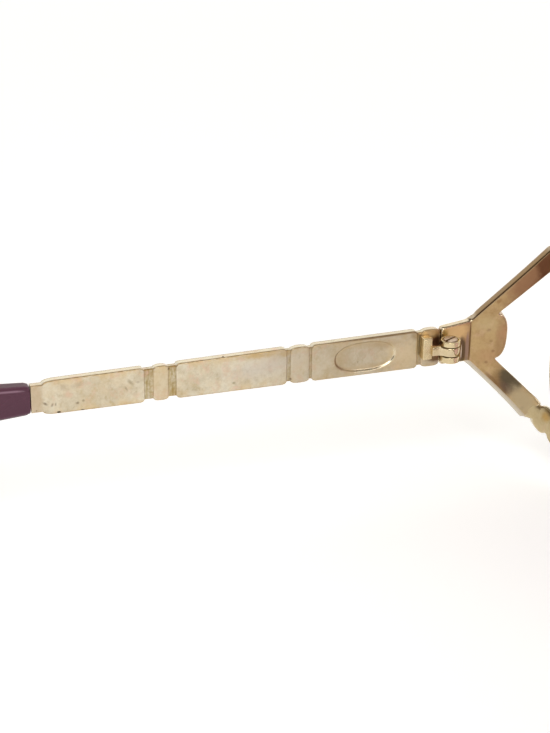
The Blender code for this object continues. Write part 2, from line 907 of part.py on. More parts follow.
def knuckle_levels():
    """Bottom and top of the bottom, middle and top knuckle, from the hinge's middle."""
    half = middle_knuckle / 2
    return (
        (-half - knuckle_gap - bottom_knuckle, -half - knuckle_gap),
        (-half, half),
        (half + knuckle_gap, half + knuckle_gap + top_knuckle),
    )


def knuckle(side, level, radius=knuckle_radius, sides=28):
    return turned(((radius, level[0]), (radius, level[1])), hinge_centre(side), (0, 0, 1), sides)


def front_hinge_mesh(side):
    """Leaf on the endpiece's inner face with the top and the bottom knuckle."""
    bottom, middle, top = knuckle_levels()
    low, high = hinge_rise + bottom[0], hinge_rise + top[1]
    outline = ((leaf_start, low), (leaf_end, low), (leaf_end, high), (leaf_start, high))

    def put(distance, height, depth):
        return front_place(distance, height, depth, side)

    leaf = sheet(outline, -seat - hinge_leaf, -seat, put, [(leaf_start + leaf_end) / 2])
    joined = combine(leaf, [knuckle(side, bottom), knuckle(side, top)], "UNION")
    room = knuckle(side, (middle[0] - knuckle_gap, middle[1] + knuckle_gap), knuckle_radius + swing_clearance)
    bore = knuckle(side, (bottom[0] - 1, top[1] + 1), hinge_bore, 20)
    head_room = knuckle(side, (top[1] - head_recess, top[1] + 1), head_room_radius)
    return combine(joined, [room, bore, head_room], "DIFFERENCE")


def temple_hinge_mesh(side):
    """Solder block, tongue and middle knuckle."""
    _, middle, _ = knuckle_levels()
    inner = STRIP_X - seat - block_depth
    outer = STRIP_X - seat
    level = hinge_centre(side).z

    def slab(x_low, x_high, y_low, y_high, rise, half_height):
        ends = sorted((side * x_low, side * x_high))
        return box(
            (ends[0], HINGE_Y + y_low, level + rise - half_height),
            (ends[1], HINGE_Y + y_high, level + rise + half_height))

    block = slab(inner, outer, block_distance, block_distance + block_length, block_rise, block_height / 2)
    tongue_middle = HINGE_X + (knuckle_radius - tongue_depth) / 2
    tongue = slab(
        tongue_middle - tongue_depth / 2, tongue_middle + tongue_depth / 2,
        knuckle_radius / 2, block_distance + block_length / 2, 0.0, middle_knuckle / 2 - tongue_inset)
    joined = combine(knuckle(side, middle), [tongue, block], "UNION")
    bore = knuckle(side, (middle[0] - 1, middle[1] + 1), hinge_bore, 20)
    return combine(joined, [bore], "DIFFERENCE")


def hinge_screw_mesh(side):
    """Slotted screw whose head lies sunk in the top knuckle."""
    bottom, _, top = knuckle_levels()
    head = top[1] - head_recess + knuckle_gap / 2
    profile = (
        (screw_radius, bottom[0]), (screw_radius, head), (screw_head_radius, head),
        (screw_head_radius, head + screw_head_height * 0.7),
        (screw_head_radius * 0.9, head + screw_head_height),
    )
    screw = turned(profile, hinge_centre(side), (0, 0, 1))
    lean = math.radians(slot_turn)
    axes = (
        Vector((math.sin(lean) * side, -math.cos(lean), 0)),
        Vector((math.cos(lean) * side, math.sin(lean), 0)),
        Vector((0, 0, 1)),
    )
    middle = hinge_centre(side) + Vector((0, 0, head + screw_head_height))
    slot = oriented_box(middle, axes, (2.4 * screw_head_radius, slot_width, 2 * slot_depth))
    return combine(screw, [slot], "DIFFERENCE")


def strip_section(half_height, inner, edge, outer, chamfer):
    """Section (across, height) of the strip: flat inside, rounded off outside."""
    crown = min(half_height * strip_crown_share, strip_crown)
    return (
        (inner, half_height - chamfer), (inner + chamfer, half_height),
        (edge, half_height), (outer, half_height - crown),
        (outer, -half_height + crown), (edge, -half_height),
        (inner + chamfer, -half_height), (inner, -half_height + chamfer),
    )


def strip_stations():
    """(distance, half height, inner face, edge, outer face) along the strip, then along its core."""
    stations = []
    place_now = STRIP_START

    def blade(length, end_corner=blade_corner, end_cut=blade_corner_cut):
        nonlocal place_now
        corners = ((place_now, 1, blade_corner, blade_corner_cut), (place_now + length, -1, end_corner, end_cut))
        for end, turn, corner, deepest in corners:
            for share in (0.0, 0.3, 1.0)[::turn]:
                cut = deepest * (1 - math.sqrt(1 - (1 - share) ** 2))
                here = end + turn * corner * share
                half = strip_half_height(here) - cut
                stations.append((here, half, 0.0, strip_edge_thickness, strip_thickness))
        place_now += length

    def bead(length):
        nonlocal place_now
        for index in range(7):
            share = index / 6
            swell = math.sin(math.pi * share) ** bead_end_power if 0 < index < 6 else 0.0
            here = place_now + length * share
            half = strip_half_height(here) - bead_dip * (1 - swell)
            outer = strip_thickness + bead_dome - (bead_dip + bead_dome) * (1 - swell)
            stations.append((here, half, 0.0, strip_edge_thickness, outer))
        place_now += length

    def groove(length):
        nonlocal place_now
        for here in (place_now + groove_wall_run, place_now + length - groove_wall_run):
            half = strip_half_height(here) - groove_notch
            edge = strip_edge_thickness - groove_edge_inset
            stations.append((here, half, groove_depth, edge, strip_thickness - groove_depth))
        place_now += length

    bead(end_bead_length)
    groove(groove_lengths[0])
    blade(blade_lengths[0])
    groove(groove_lengths[1])
    bead(bead_lengths[0])
    groove(groove_lengths[2])
    blade(blade_lengths[1])
    groove(groove_lengths[3])
    bead(bead_lengths[1])
    groove(groove_lengths[4])
    blade(blade_lengths[2], last_corner, last_corner_cut)
    neck_end = TIP_START - seat
    for here in (place_now + groove_wall_run, neck_end):
        stations.append((here, neck_height / 2, neck_inset, strip_edge_thickness, strip_thickness - neck_inset))
    core_in = (strip_thickness - core_thickness) / 2
    core_out = core_in + core_thickness
    core_edge = core_out - core_chamfer
    for index in range(13):
        here = neck_end + groove_wall_run + (core_length - groove_wall_run) * index / 12
        stations.append((here, core_height / 2, core_in, core_edge, core_out))
    return stations


def oval_prism(side, across_low, across_high, length, height):
    """Upright oval on the first blade, between two distances across the strip."""
    rings = []
    for across in (across_low, across_high):
        ring = []
        for index in range(32):
            turn = 2 * math.pi * index / 32
            ring.append(temple_place(
                OVAL_CENTRE + length / 2 * math.cos(turn), across, height / 2 * math.sin(turn), side))
        rings.append(ring)
    return closed_mesh("oval", *tube(rings))


def temple_blade_mesh(side):
    rings = []
    for distance, half_height, inner, edge, outer in strip_stations():
        section = strip_section(half_height, inner, edge, outer, strip_chamfer)
        rings.append([temple_place(distance, across, height, side) for across, height in section])
    strip = closed_mesh("strip", *tube(rings))
    raised = oval_prism(
        side, strip_thickness - oval_root, strip_thickness + oval_rise,
        oval_length, height_at_hinge * raised_oval_share)
    joined = combine(strip, [raised], "UNION")
    sunk = oval_prism(side, -oval_depth, oval_depth, oval_length, oval_height)
    return combine(joined, [sunk], "DIFFERENCE")


def tip_mesh(side):
    """Acetate sleeve with a blind bore for the strip's core."""
    middle = strip_thickness / 2
    rings = []

    def ring(distance, half_height, half_thickness, chamfer):
        section = (
            (half_thickness - chamfer, half_height), (half_thickness, half_height - chamfer),
            (half_thickness, -half_height + chamfer), (half_thickness - chamfer, -half_height),
            (-half_thickness + chamfer, -half_height), (-half_thickness, -half_height + chamfer),
            (-half_thickness, half_height - chamfer), (-half_thickness + chamfer, half_height),
        )
        rings.append([temple_place(distance, middle + across, height, side) for across, height in section])

    bore_half = core_height / 2 + tip_fit
    bore_thick = core_thickness / 2 + tip_fit
    bore_end = TIP_START + core_length + tip_bore_spare
    for index in range(11, -1, -1):
        ring(TIP_START + (bore_end - TIP_START) * index / 11, bore_half, bore_thick, core_chamfer)
    for distance, half_height, half_thickness in tip_stations():
        ring(distance, half_height, half_thickness, min(tip_chamfer, half_thickness * 0.5))
    return closed_mesh("tip", *tube(rings))


# Pieces across the nose

def along_rim(first, last, count=9):
    """Points just outside the left rim between two angles, measured from the middle of the nose."""
    stretch = []
    for a, b, _, _ in edge_stretch(first, last, count, rim_wall + seat):
        stretch.append((bridge_width / 2 + lens_width / 2 + a, lens_centre_above_axis + b))
    return stretch


def mirrored(points):
    return [(-x, z) for x, z in points[::-1]]


def bridge_mesh():
    """Arched bar between the rims, over the nose."""
    low = bridge_height - bridge_bar_width / 2
    high = bridge_height + bridge_bar_width / 2
    start = 180 - height_angle(low)
    end = 180 - height_angle(high)
    ends = along_rim(start, end)
    under = []
    over = []
    for index in range(1, 8):
        share = index / 8
        across = ends[0][0] * (1 - 2 * share)
        rise = bridge_rise * (1 - (1 - 2 * share) ** 2)
        scallop = bridge_scallop * abs(math.sin(math.pi * share * bridge_scallops))
        under.append((across, low + rise - scallop))
        over.append((across, high + rise + scallop))
    outline = ends + over + mirrored(ends) + under[::-1]
    cuts = (-bridge_width / 2, bridge_width / 2)
    return sheet(outline, bridge_setback, bridge_setback + sheet_thickness, centre_place, cuts)


def height_angle(height):
    """Outline angle, past the top of the nose side, at which the lens edge has this height."""
    b = height - lens_centre_above_axis
    share = abs(b) / (lens_height / 2)
    return math.degrees(math.asin(share ** (corner_squareness / 2)))


def brow_bar_mesh():
    """Flat bar that lies on the tops of both rims and crosses over the bridge."""
    right = along_rim(brow_bar_end_angle, brow_arm_end_angle + brow_bar_gap_angle, 17)
    inner = right[0]
    outer = right[-1]
    top = outer[1] + trim_end_height
    crown = inner[1] + brow_bar_width
    outer_handle = (outer[0] - brow_bar_eases[0], top + brow_bar_swells[0])
    inner_handle = (inner[0] + brow_bar_eases[1], crown + brow_bar_swells[1])
    over = bezier((outer[0], top), outer_handle, inner_handle, (0.0, crown), 8)
    half = right + [(outer[0], top)] + over[:-1]
    outline = half + [(0.0, crown)] + mirrored(half)
    outline.append((0.0, inner[1] + brow_bar_dip))
    cuts = [-bridge_width / 2, bridge_width / 2]
    count = int((outer[0] - bridge_width / 2) / crease_spacing)
    for index in range(1, count + 1):
        place_now = bridge_width / 2 + index * crease_spacing
        cuts += [place_now, -place_now]
    return sheet(outline, brow_bar_setback, brow_bar_setback + sheet_thickness, centre_place, cuts)


# Nose pads

def pad_frame(side):
    """Middle of a pad and its axes: out of its face towards the nose, up along it, across it."""
    rim_y = front_place(NOSE_END, 0.0, 0.0, side).y
    centre = Vector((side * pad_half_distance, rim_y + pad_setback, AXIS_Z - pad_drop))
    frontal = math.radians(pad_frontal_angle)
    splay = math.radians(pad_splay_angle)
    face = Vector((-side * math.cos(frontal), math.sin(frontal), 0.0))
    up = Vector((-side * math.sin(splay), 0.0, math.cos(splay)))
    up = (up - face * up.dot(face)).normalized()
    across = face.cross(up).normalized()
    return centre, face, up, across


def pad_screw_centre(side):
    centre, face, _, _ = pad_frame(side)
    return centre - face * (pad_thickness / 2 + lug_length - lug_size / 2)


def pad_mesh(side):
    """Oval silicone pad with a lug on its back."""
    centre, face, up, across = pad_frame(side)
    rings = []
    for depth, share in ((-1.0, 0.55), (-0.75, 0.86), (-0.2, 1.0), (0.45, 0.93), (0.85, 0.66), (1.0, 0.3)):
        ring = []
        for index in range(28):
            turn = 2 * math.pi * index / 28
            u = math.cos(turn) * pad_width / 2 * share
            v = math.sin(turn) * pad_length / 2 * share * (1 + pad_egg * math.sin(turn))
            ring.append(centre + face * (depth * pad_thickness / 2) + across * u + up * v)
        rings.append(ring)
    body = closed_mesh("pad", *tube(rings))
    lug_middle = centre - face * (pad_thickness / 2 + lug_length / 2 - lug_root / 2)
    lug = oriented_box(lug_middle, (face, up, across), (lug_length + lug_root, lug_width, lug_size))
    joined = combine(body, [lug], "UNION")
    profile = ((pad_screw_bore, -lug_width), (pad_screw_bore, lug_width))
    bore = turned(profile, pad_screw_centre(side), across, 14)
    return combine(joined, [bore], "DIFFERENCE")


def pad_screw_mesh(side):
    _, _, _, across = pad_frame(side)
    half = lug_size / 2 + ear_gap + ear_thickness
    head = half + pad_screw_head_gap
    profile = (
        (pad_screw_radius, -half), (pad_screw_radius, head),
        (pad_screw_head_radius, head), (pad_screw_head_radius, head + pad_screw_head_height),
    )
    return turned(profile, pad_screw_centre(side), across, 14)


def pad_arm_mesh(side):
    """Wire from the rim's back to a fork that holds the pad's lug."""
    _, face, up, across = pad_frame(side)
    hold = pad_screw_centre(side)
    ear_offset = lug_size / 2 + ear_gap + ear_thickness / 2
    ears = []
    for turn in (-1, 1):
        middle = hold + across * turn * ear_offset - face * ear_shift
        ears.append(oriented_box(middle, (face, up, across), (ear_length, ear_height, ear_thickness)))
    web_middle = hold - face * (ear_shift + ear_length / 2 - web_thickness / 4)
    web_sizes = (web_thickness, ear_height - web_step, 2 * ear_offset + web_step / 2)
    web = oriented_box(web_middle, (face, up, across), web_sizes)
    start_height = pad_arm_height - lens_centre_above_axis
    edge_angle = 180 - math.degrees(math.asin((start_height / (lens_height / 2)) ** (corner_squareness / 2)))
    a, b, out_a, out_b = edge_stretch(edge_angle - 0.5, edge_angle + 0.5, 3)[1]
    reach = (rim_wall - rim_lip) / 2
    distance, height = on_front(a + out_a * reach, b + out_b * reach)
    foot = front_place(distance, height, -seat, side)
    end = web_middle - face * web_thickness / 6
    out = Vector((0, pad_arm_eases[0], 0)) - face * pad_arm_lean
    handles = (foot, foot + out, end - face * pad_arm_eases[1], end)
    points = []
    for index in range(15):
        t = index / 14
        u = 1 - t
        weights = (u * u * u, 3 * u * u * t, 3 * u * t * t, t * t * t)
        points.append(sum((handle * weight for handle, weight in zip(handles, weights)), Vector()))
    wire = closed_mesh("wire", *tube(round_rings(points, pad_arm_radius, 10)))
    joined = combine(wire, [web, *ears], "UNION")
    bore = turned(((pad_screw_bore, -ear_length), (pad_screw_bore, ear_length)), hold, across, 14)
    return combine(joined, [bore], "DIFFERENCE")


def round_rings(points, radius, sides):
    """Rings of a round wire along points, without twist."""
    rings = []
    across = None
    for index, point in enumerate(points):
        ahead = points[min(index + 1, len(points) - 1)] - points[max(index - 1, 0)]
        ahead.normalize()
        across = ahead.orthogonal() if across is None else across - ahead * across.dot(ahead)
        across.normalize()
        third = ahead.cross(across)
        ring = []
        for step in range(sides):
            turn = 2 * math.pi * step / sides
            ring.append(point + (across * math.cos(turn) + third * math.sin(turn)) * radius)
        rings.append(ring)
    return rings


def build():
    for old in list(bpy.data.objects):
        bpy.data.objects.remove(old)
    look = make_materials()
    for side, word in ((1, "left"), (-1, "right")):
        fold_axis = axis_empty(f"fold_axis_{word}", hinge_centre(side))
        pad_axis = axis_empty(f"pad_axis_{word}", pad_screw_centre(side))
        place(f"rim_{word}", rim_mesh(side), look["gold"])
        place(f"lens_{word}", lens_mesh(side), look["tinted_lens"])
        place(f"closing_screw_{word}", closing_screw_mesh(side), look["screw_metal"])
        place(f"endpiece_{word}", endpiece_mesh(side), look["gold"])
        place(f"front_hinge_{word}", front_hinge_mesh(side), look["hinge_gold"])
        place(f"hinge_screw_{word}", hinge_screw_mesh(side), look["screw_metal"])
        place(f"pad_arm_{word}", pad_arm_mesh(side), look["gold"])
        place(f"pad_screw_{word}", pad_screw_mesh(side), look["screw_metal"])
        place(f"nose_pad_{word}", pad_mesh(side), look["pad_silicone"], pad_axis)
        place(f"temple_blade_{word}", temple_blade_mesh(side), look["gold"], fold_axis)
        place(f"temple_hinge_{word}", temple_hinge_mesh(side), look["hinge_gold"], fold_axis)
        place(f"temple_tip_{word}", tip_mesh(side), look["plum_acetate"], fold_axis)
    place("bridge", bridge_mesh(), look["gold"])
    place("brow_bar", brow_bar_mesh(), look["gold"])


build()
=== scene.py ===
"""Looks of the beaded gold sunglasses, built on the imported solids.

The front is modelled flat, as (distance along its plan curve, height over the temple axis, depth forwards),
and then bent round the face, as a maker bends the cut sheet. Sizes are in millimetres and angles in degrees.
"""

import json
import math
from contextlib import contextmanager
from functools import partial
from itertools import product

import bmesh
import bpy
from mathutils import Matrix, Vector


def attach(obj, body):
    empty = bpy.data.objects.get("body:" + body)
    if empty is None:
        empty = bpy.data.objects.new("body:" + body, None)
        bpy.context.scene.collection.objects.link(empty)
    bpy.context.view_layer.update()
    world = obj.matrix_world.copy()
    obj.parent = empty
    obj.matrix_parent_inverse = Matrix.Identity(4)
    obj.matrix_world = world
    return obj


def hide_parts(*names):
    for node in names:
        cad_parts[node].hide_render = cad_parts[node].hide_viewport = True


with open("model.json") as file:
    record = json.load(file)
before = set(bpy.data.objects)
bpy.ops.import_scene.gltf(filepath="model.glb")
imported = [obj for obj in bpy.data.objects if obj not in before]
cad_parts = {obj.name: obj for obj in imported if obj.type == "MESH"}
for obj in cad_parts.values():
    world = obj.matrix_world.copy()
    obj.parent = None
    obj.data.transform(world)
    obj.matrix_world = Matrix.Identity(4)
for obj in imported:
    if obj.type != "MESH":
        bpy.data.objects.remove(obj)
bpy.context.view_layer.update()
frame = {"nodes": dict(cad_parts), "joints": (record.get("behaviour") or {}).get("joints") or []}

MM = 0.001
WELD = 1e-6

# Lenses and rims
lens_width = 56.0
lens_height = 48.0
bridge_width = 17.0
lens_thickness = 1.6
lens_edge_thickness = 0.8
lens_edge_reach = 1.0
lens_curve_radius = 120.0
lens_centre_above_axis = 1.5
corner_squareness = 3.0
lower_squareness = 2.05
rim_wall = 1.5
rim_lip = 0.7
rim_depth = 2.4
rim_groove_floor = 0.45
rim_fit = 0.3
rim_split = 0.4
rim_split_widening = 1.6
front_tilt = 4.0

# Endpieces
side_length = 6.0
side_heading = 97.0
fold_radius = 1.0
plate_heading = 70.0
plate_length = 12.4
corner_radius = 2.5
corner_heading = 20.5
sheet_thickness = 1.5
rim_from_corner = 1.5
joint_height = 7.2
fold_height = 8.3
fold_relief = 0.15
notch_reach = 4.8
notch_height = 4.4
lobe_lift = 1.07
lobe_reach = 1.77
lobe_fullness = 0.6
lobe_steps = 36
upper_arm_slope = 46.4
upper_arm_inner_slope = 44.0
upper_arm_reach = 13.2
upper_arm_inner_reach = 13.9
lower_arm_slope = 43.5
lower_arm_end_slope = 37.0
lower_arm_end = (13.95, -13.2)
lower_arm_end_width = 3.9
lower_arm_handle = 4.5
lower_arm_end_handle = 4.0
lower_arm_inner_handle = 3.5
upper_spread = 0.5
lower_spread = 1.1
spread_angle = 45.0
spread_start = -1.0
spread_end = 13.2
spread_rise = 2.0
lower_spread_fade = 10.0
upper_spread_fade = 18.0
brow_arm_start = 38.0
brow_arm_end = 80.0
trim_end_height = 1.1

# Bead chain
bead_pitch = 4.75
bead_width = 4.7
bead_shrink = 0.1045
beads_to_rim = 2.4
bead_count = 5
bead_waists = (0.68, 0.42)
neck_root = 0.7
bead_overlap = 1.14
bead_sink = 0.05
first_bead_shift = 0.36
first_bead_width = 5.0
last_bead_loss = 0.4
bead_thickness = 0.8
bead_thinning = 0.01
chain_slope = 19.5
chain_meets_rim = -46.0

# Temples
joint_setback = 1.05
joint_gap = 0.3
strip_thickness = 1.75
strip_edge_thickness = 1.4
height_at_hinge = 7.3
height_at_tip = 6.2
end_bead_length = 3.45
blade_lengths = (20.1, 20.15, 17.73)
bead_lengths = (3.5, 2.7)
groove_lengths = (0.8, 0.45, 0.7, 1.38, 1.59)
groove_depth = 0.25
groove_notch = 0.42
bead_dip = 0.35
bead_dome = 0.12
bead_corner_cut = 0.5
bead_drop = 0.02
bead_end_depth = 0.14
bead_end_hollow = 0.3
outer_bead_drop = 0.08
outer_bead_corner_cut = 0.5
blade_corner = 0.8
blade_corner_cut = 0.64
blade_lip = 0.10
blade_lip_reach = 0.16
last_corner = 2.0
last_corner_cut = 0.6
neck_height = 5.0
neck_length = 2.25
core_height = 2.0
core_thickness = 1.2
core_length = 44.0
oval_length = 11.8
oval_height = 5.9
oval_squareness = 2.25
oval_depth = 0.35
oval_rise = 0.35
raised_oval_share = 0.62
oval_wall = 0.46
oval_floor_shade_reach = 1.5
edge_radius = 0.16
tip_length = 62.9
tip_mouth_height = 5.4
tip_end_height = 9.6
tip_mouth_thickness = 2.9
tip_end_thickness = 4.2
tip_chamfer = 0.55
tip_play = 0.3
tip_relief = 0.04
mouth_rounding = 0.5
end_rounding = 5.5
straight_to_bend = 96.0
bend_radius = 26.0

# Hinges and screws
hinge_rise = 0.27
knuckle_radius = 1.8
top_knuckle = 1.0
middle_knuckle = 1.65
bottom_knuckle = 1.15
knuckle_gap = 0.15
hinge_bore = 0.85
hinge_leaf = 1.0
leaf_start = 0.5
leaf_end = 3.6
swing_clearance = 0.25
block_length = 1.8
block_distance = 3.3
block_height = 4.1
block_rise = 0.38
block_depth = 1.6
block_sink = 0.24
tongue_depth = 1.2
tongue_ease_angle = 18.0
tongue_lap = 0.25
head_room_radius = 1.45
screw_radius = 0.6
screw_head_radius = 1.25
screw_head_height = 0.4
head_recess = 0.35
slot_turn = 28.0
closing_angle = -52.0
closing_block_length = 1.9
closing_block_width = 2.1
closing_block_depth = 2.3
closing_screw_radius = 0.3
closing_head_radius = 0.75
closing_head_height = 0.4
closing_head_play = 0.03

# Bridge, brow bar and nose pads
bridge_height = 9.0
bridge_bar_width = 3.0
bridge_rise = 2.2
bridge_scallop = 0.22
bridge_scallops = 3
brow_bar_width = 3.2
brow_bar_start = 80.6
brow_bar_end = 122.0
pad_length = 15.0
pad_width = 8.5
pad_thickness = 2.6
pad_setback = 8.0
pad_half_distance = 8.0
pad_drop = 3.0
pad_frontal_angle = 28.0
pad_splay_angle = 14.0
lug_size = 1.0
lug_length = 2.3
lug_width = 1.7
lug_sink = 0.8
ear_thickness = 0.5
ear_gap = 0.25
pad_screw_radius = 0.3
pad_head_radius = 0.6
pad_head_height = 0.32
pad_head_play = 0.04
solder_reach = 0.3
seat = 0.2


# The plan curve and the temple path, as the solids have them

def plan_pieces():
    """(length, heading at its start, heading at its end) of each stretch of the front's back face."""
    fold = math.radians(side_heading - plate_heading) * fold_radius
    corner = math.radians(plate_heading - corner_heading) * corner_radius
    front = rim_from_corner + rim_wall + lens_width
    nose_heading = corner_heading - math.degrees(front / lens_curve_radius)
    return (
        (side_length, side_heading, side_heading),
        (fold, side_heading, plate_heading),
        (plate_length, plate_heading, plate_heading),
        (corner, plate_heading, corner_heading),
        (front, corner_heading, nose_heading),
    )


PLAN = plan_pieces()
FOLD_START = side_length
FOLD_MIDDLE = side_length + PLAN[1][0] / 2
FOLD_END = side_length + PLAN[1][0]
CORNER_START = FOLD_END + plate_length
CORNER_END = CORNER_START + PLAN[3][0]
NOSE_END = CORNER_END + PLAN[4][0]
LENS_CENTRE = NOSE_END - lens_width / 2


def plan_point(distance):
    """Place (x, y) from the joint and heading in radians, at a distance along the plan curve."""
    x = y = 0.0
    left = distance
    for index, (length, start, end) in enumerate(PLAN):
        part = left if index == len(PLAN) - 1 else min(left, length)
        turn = math.radians(end - start) / length
        first = math.radians(start)
        last = first + turn * part
        if abs(turn) < 1e-9:
            x -= math.cos(first) * part
            y -= math.sin(first) * part
        else:
            x -= (math.sin(last) - math.sin(first)) / turn
            y += (math.cos(last) - math.cos(first)) / turn
        left -= part
        if left <= 0:
            break
    return x, y, last


STRIP_X = bridge_width / 2 - plan_point(NOSE_END)[0]
HINGE = {
    joint["name"].removeprefix("temple_fold_"): Vector(joint["pos_m"]) / MM
    for joint in frame["joints"] if joint["name"].startswith("temple_fold_")
}
HINGE_Y = HINGE["left"].y
AXIS_Z = HINGE["left"].z - hinge_rise
SIDES = ((1, "left"), (-1, "right"))


def between(value, low, high):
    """0 below low, 1 above high, and evenly between them."""
    return min(max((value - low) / (high - low), 0.0), 1.0)


def eased(value, low, high):
    share = between(value, low, high)
    return share * share * (3 - 2 * share)


def upright_shift(distance, height):
    """How far the front's tilt and its upright curve move a point back."""
    bulge = (height - lens_centre_above_axis) ** 2 / (2 * lens_curve_radius)
    tilt = math.tan(math.radians(front_tilt)) * height
    return between(distance, FOLD_END, CORNER_START) * (bulge - tilt)


def front_place(distance, height, depth, side):
    """World place of a point on the front."""
    x, y, heading = plan_point(distance)
    x += STRIP_X + depth * math.sin(heading)
    y += HINGE_Y + joint_setback - joint_gap / 2 - depth * math.cos(heading) + upright_shift(distance, height)
    return Vector((side * x, y, AXIS_Z + height))


def centre_place(across, height, depth):
    """World place of a point on a piece that crosses the nose."""
    side = 1 if across >= 0 else -1
    beyond = abs(across) - bridge_width / 2
    if beyond >= 0:
        return front_place(NOSE_END - beyond, height, depth, side)
    nose = front_place(NOSE_END, height, depth, side)
    return Vector((nose.x * abs(across) / (bridge_width / 2), nose.y, nose.z))


def path_point(distance, bend):
    """Place (y, z) from the hinge axis and the downward angle, at a distance along the temple."""
    if distance <= straight_to_bend:
        return distance, 0.0, 0.0
    arc = bend * bend_radius
    if distance <= straight_to_bend + arc:
        turn = (distance - straight_to_bend) / bend_radius
        return straight_to_bend + bend_radius * math.sin(turn), -bend_radius * (1 - math.cos(turn)), turn
    rest = distance - straight_to_bend - arc
    y = straight_to_bend + bend_radius * math.sin(bend) + rest * math.cos(bend)
    z = -bend_radius * (1 - math.cos(bend)) - rest * math.sin(bend)
    return y, z, bend


STRIP_START = joint_setback + joint_gap / 2
STRIP_END = STRIP_START + end_bead_length + sum(blade_lengths) + sum(bead_lengths) + sum(groove_lengths)
OVAL_CENTRE = STRIP_START + end_bead_length + groove_lengths[0] + blade_lengths[0] / 2
TIP_START = STRIP_END + neck_length


def tip_size(share):
    """Half height and half thickness of the sleeve, without the rounding of its ends."""
    grown = 1 - (1 - share) ** 2
    half_height = (tip_mouth_height + (tip_end_height - tip_mouth_height) * grown) / 2
    half_thickness = (tip_mouth_thickness + (tip_end_thickness - tip_mouth_thickness) * grown) / 2
    return half_height, half_thickness


def bend_to_table():
    """Bend that brings the tips down to the table."""
    low, high = 0.0, math.radians(80)
    for _ in range(50):
        middle = (low + high) / 2
        lowest = 0.0
        for share, rounding in ((0.82, 1.0), (0.9, 1.0), (0.955, 0.93), (0.985, 0.76), (1.0, 0.5)):
            _, z, angle = path_point(TIP_START + share * tip_length, middle)
            lowest = min(lowest, z - tip_size(share)[0] * rounding * math.cos(angle))
        if lowest > -AXIS_Z:
            low = middle
        else:
            high = middle
    return low


BEND = bend_to_table()


def temple_place(distance, across, height, side):
    """World place of a point on a temple, across from the inner face outwards."""
    y, z, angle = path_point(distance, BEND)
    return Vector((
        side * (STRIP_X + across),
        HINGE_Y + y + height * math.sin(angle),
        AXIS_Z + z + height * math.cos(angle),
    ))


# Outlines

def raised(value, power):
    """A power of a number, with the number's sign."""
    return math.copysign(abs(value) ** power, value)


def lens_outline_point(degrees):
    angle = math.radians(degrees)
    c, s = math.cos(angle), math.sin(angle)
    power = 2 / (lower_squareness if s < 0 else corner_squareness)
    return raised(c, power) * lens_width / 2, raised(s, power) * lens_height / 2


def lengths_to(points):
    """Length of a path up to each of its points."""
    lengths = [0.0]
    for first, second in zip(points, points[1:]):
        lengths.append(lengths[-1] + math.dist(first, second))
    return lengths


def edge_stretch(start, end, count, offset=0.0):
    """Evenly spaced points along the lens edge, moved outwards, with their outward direction."""
    fine = [lens_outline_point(start + (end - start) * i / 1440) for i in range(1441)]
    lengths = lengths_to(fine)
    turn = 1 if end > start else -1
    result = []
    step = 0
    for index in range(count):
        wanted = lengths[-1] * index / (count - 1)
        while step < len(fine) - 2 and lengths[step + 1] < wanted:
            step += 1
        share = (wanted - lengths[step]) / max(lengths[step + 1] - lengths[step], 1e-9)
        a = fine[step][0] + (fine[step + 1][0] - fine[step][0]) * share
        b = fine[step][1] + (fine[step + 1][1] - fine[step][1]) * share
        low, high = max(step - 4, 0), min(step + 5, len(fine) - 1)
        da, db = fine[high][0] - fine[low][0], fine[high][1] - fine[low][1]
        size = math.hypot(da, db)
        out_a, out_b = turn * db / size, -turn * da / size
        result.append((a + out_a * offset, b + out_b * offset, out_a, out_b))
    return result


def on_front(a, b):
    return LENS_CENTRE - a, lens_centre_above_axis + b


def bezier(start, start_handle, end_handle, end, count):
    """Points of a cubic curve, without its first point."""
    points = []
    given = (start, start_handle, end_handle, end)
    for index in range(1, count + 1):
        t = index / count
        u = 1 - t
        weights = (u * u * u, 3 * u * u * t, 3 * u * t * t, t * t * t)
        points.append(tuple(
            sum(weight * value for weight, value in zip(weights, values)) for values in zip(*given)))
    return points


def slope_step(degrees):
    slope = math.radians(degrees)
    return math.cos(slope), -math.sin(slope)


def moved(point, step, count):
    return point[0] + step[0] * count, point[1] + step[1] * count


def spread(distance, height):
    """How far the fork's outer face is set away from its gap, along the plan and upwards."""
    beyond_fold = distance - FOLD_MIDDLE
    side_share = min(max((height - lobe_lift) / notch_height, -1.0), 1.0)
    size = upper_spread + (lower_spread - upper_spread) * max(-side_share, 0.0)
    size *= between(beyond_fold, spread_start, spread_start + spread_rise)
    fade = lower_spread_fade if height < 0 else upper_spread_fade
    size *= 1 - between(beyond_fold, spread_end, spread_end + fade)
    angle = math.radians(spread_angle)
    return -size * math.sin(angle), size * math.cos(angle) * side_share


def fork_place(distance, height, depth, side):
    """World place of a point on a fork, whose outer face leans away from its gap."""
    along, up = spread(distance, height)
    share = depth / sheet_thickness
    return front_place(distance + along * share, height + up * share, depth, side)


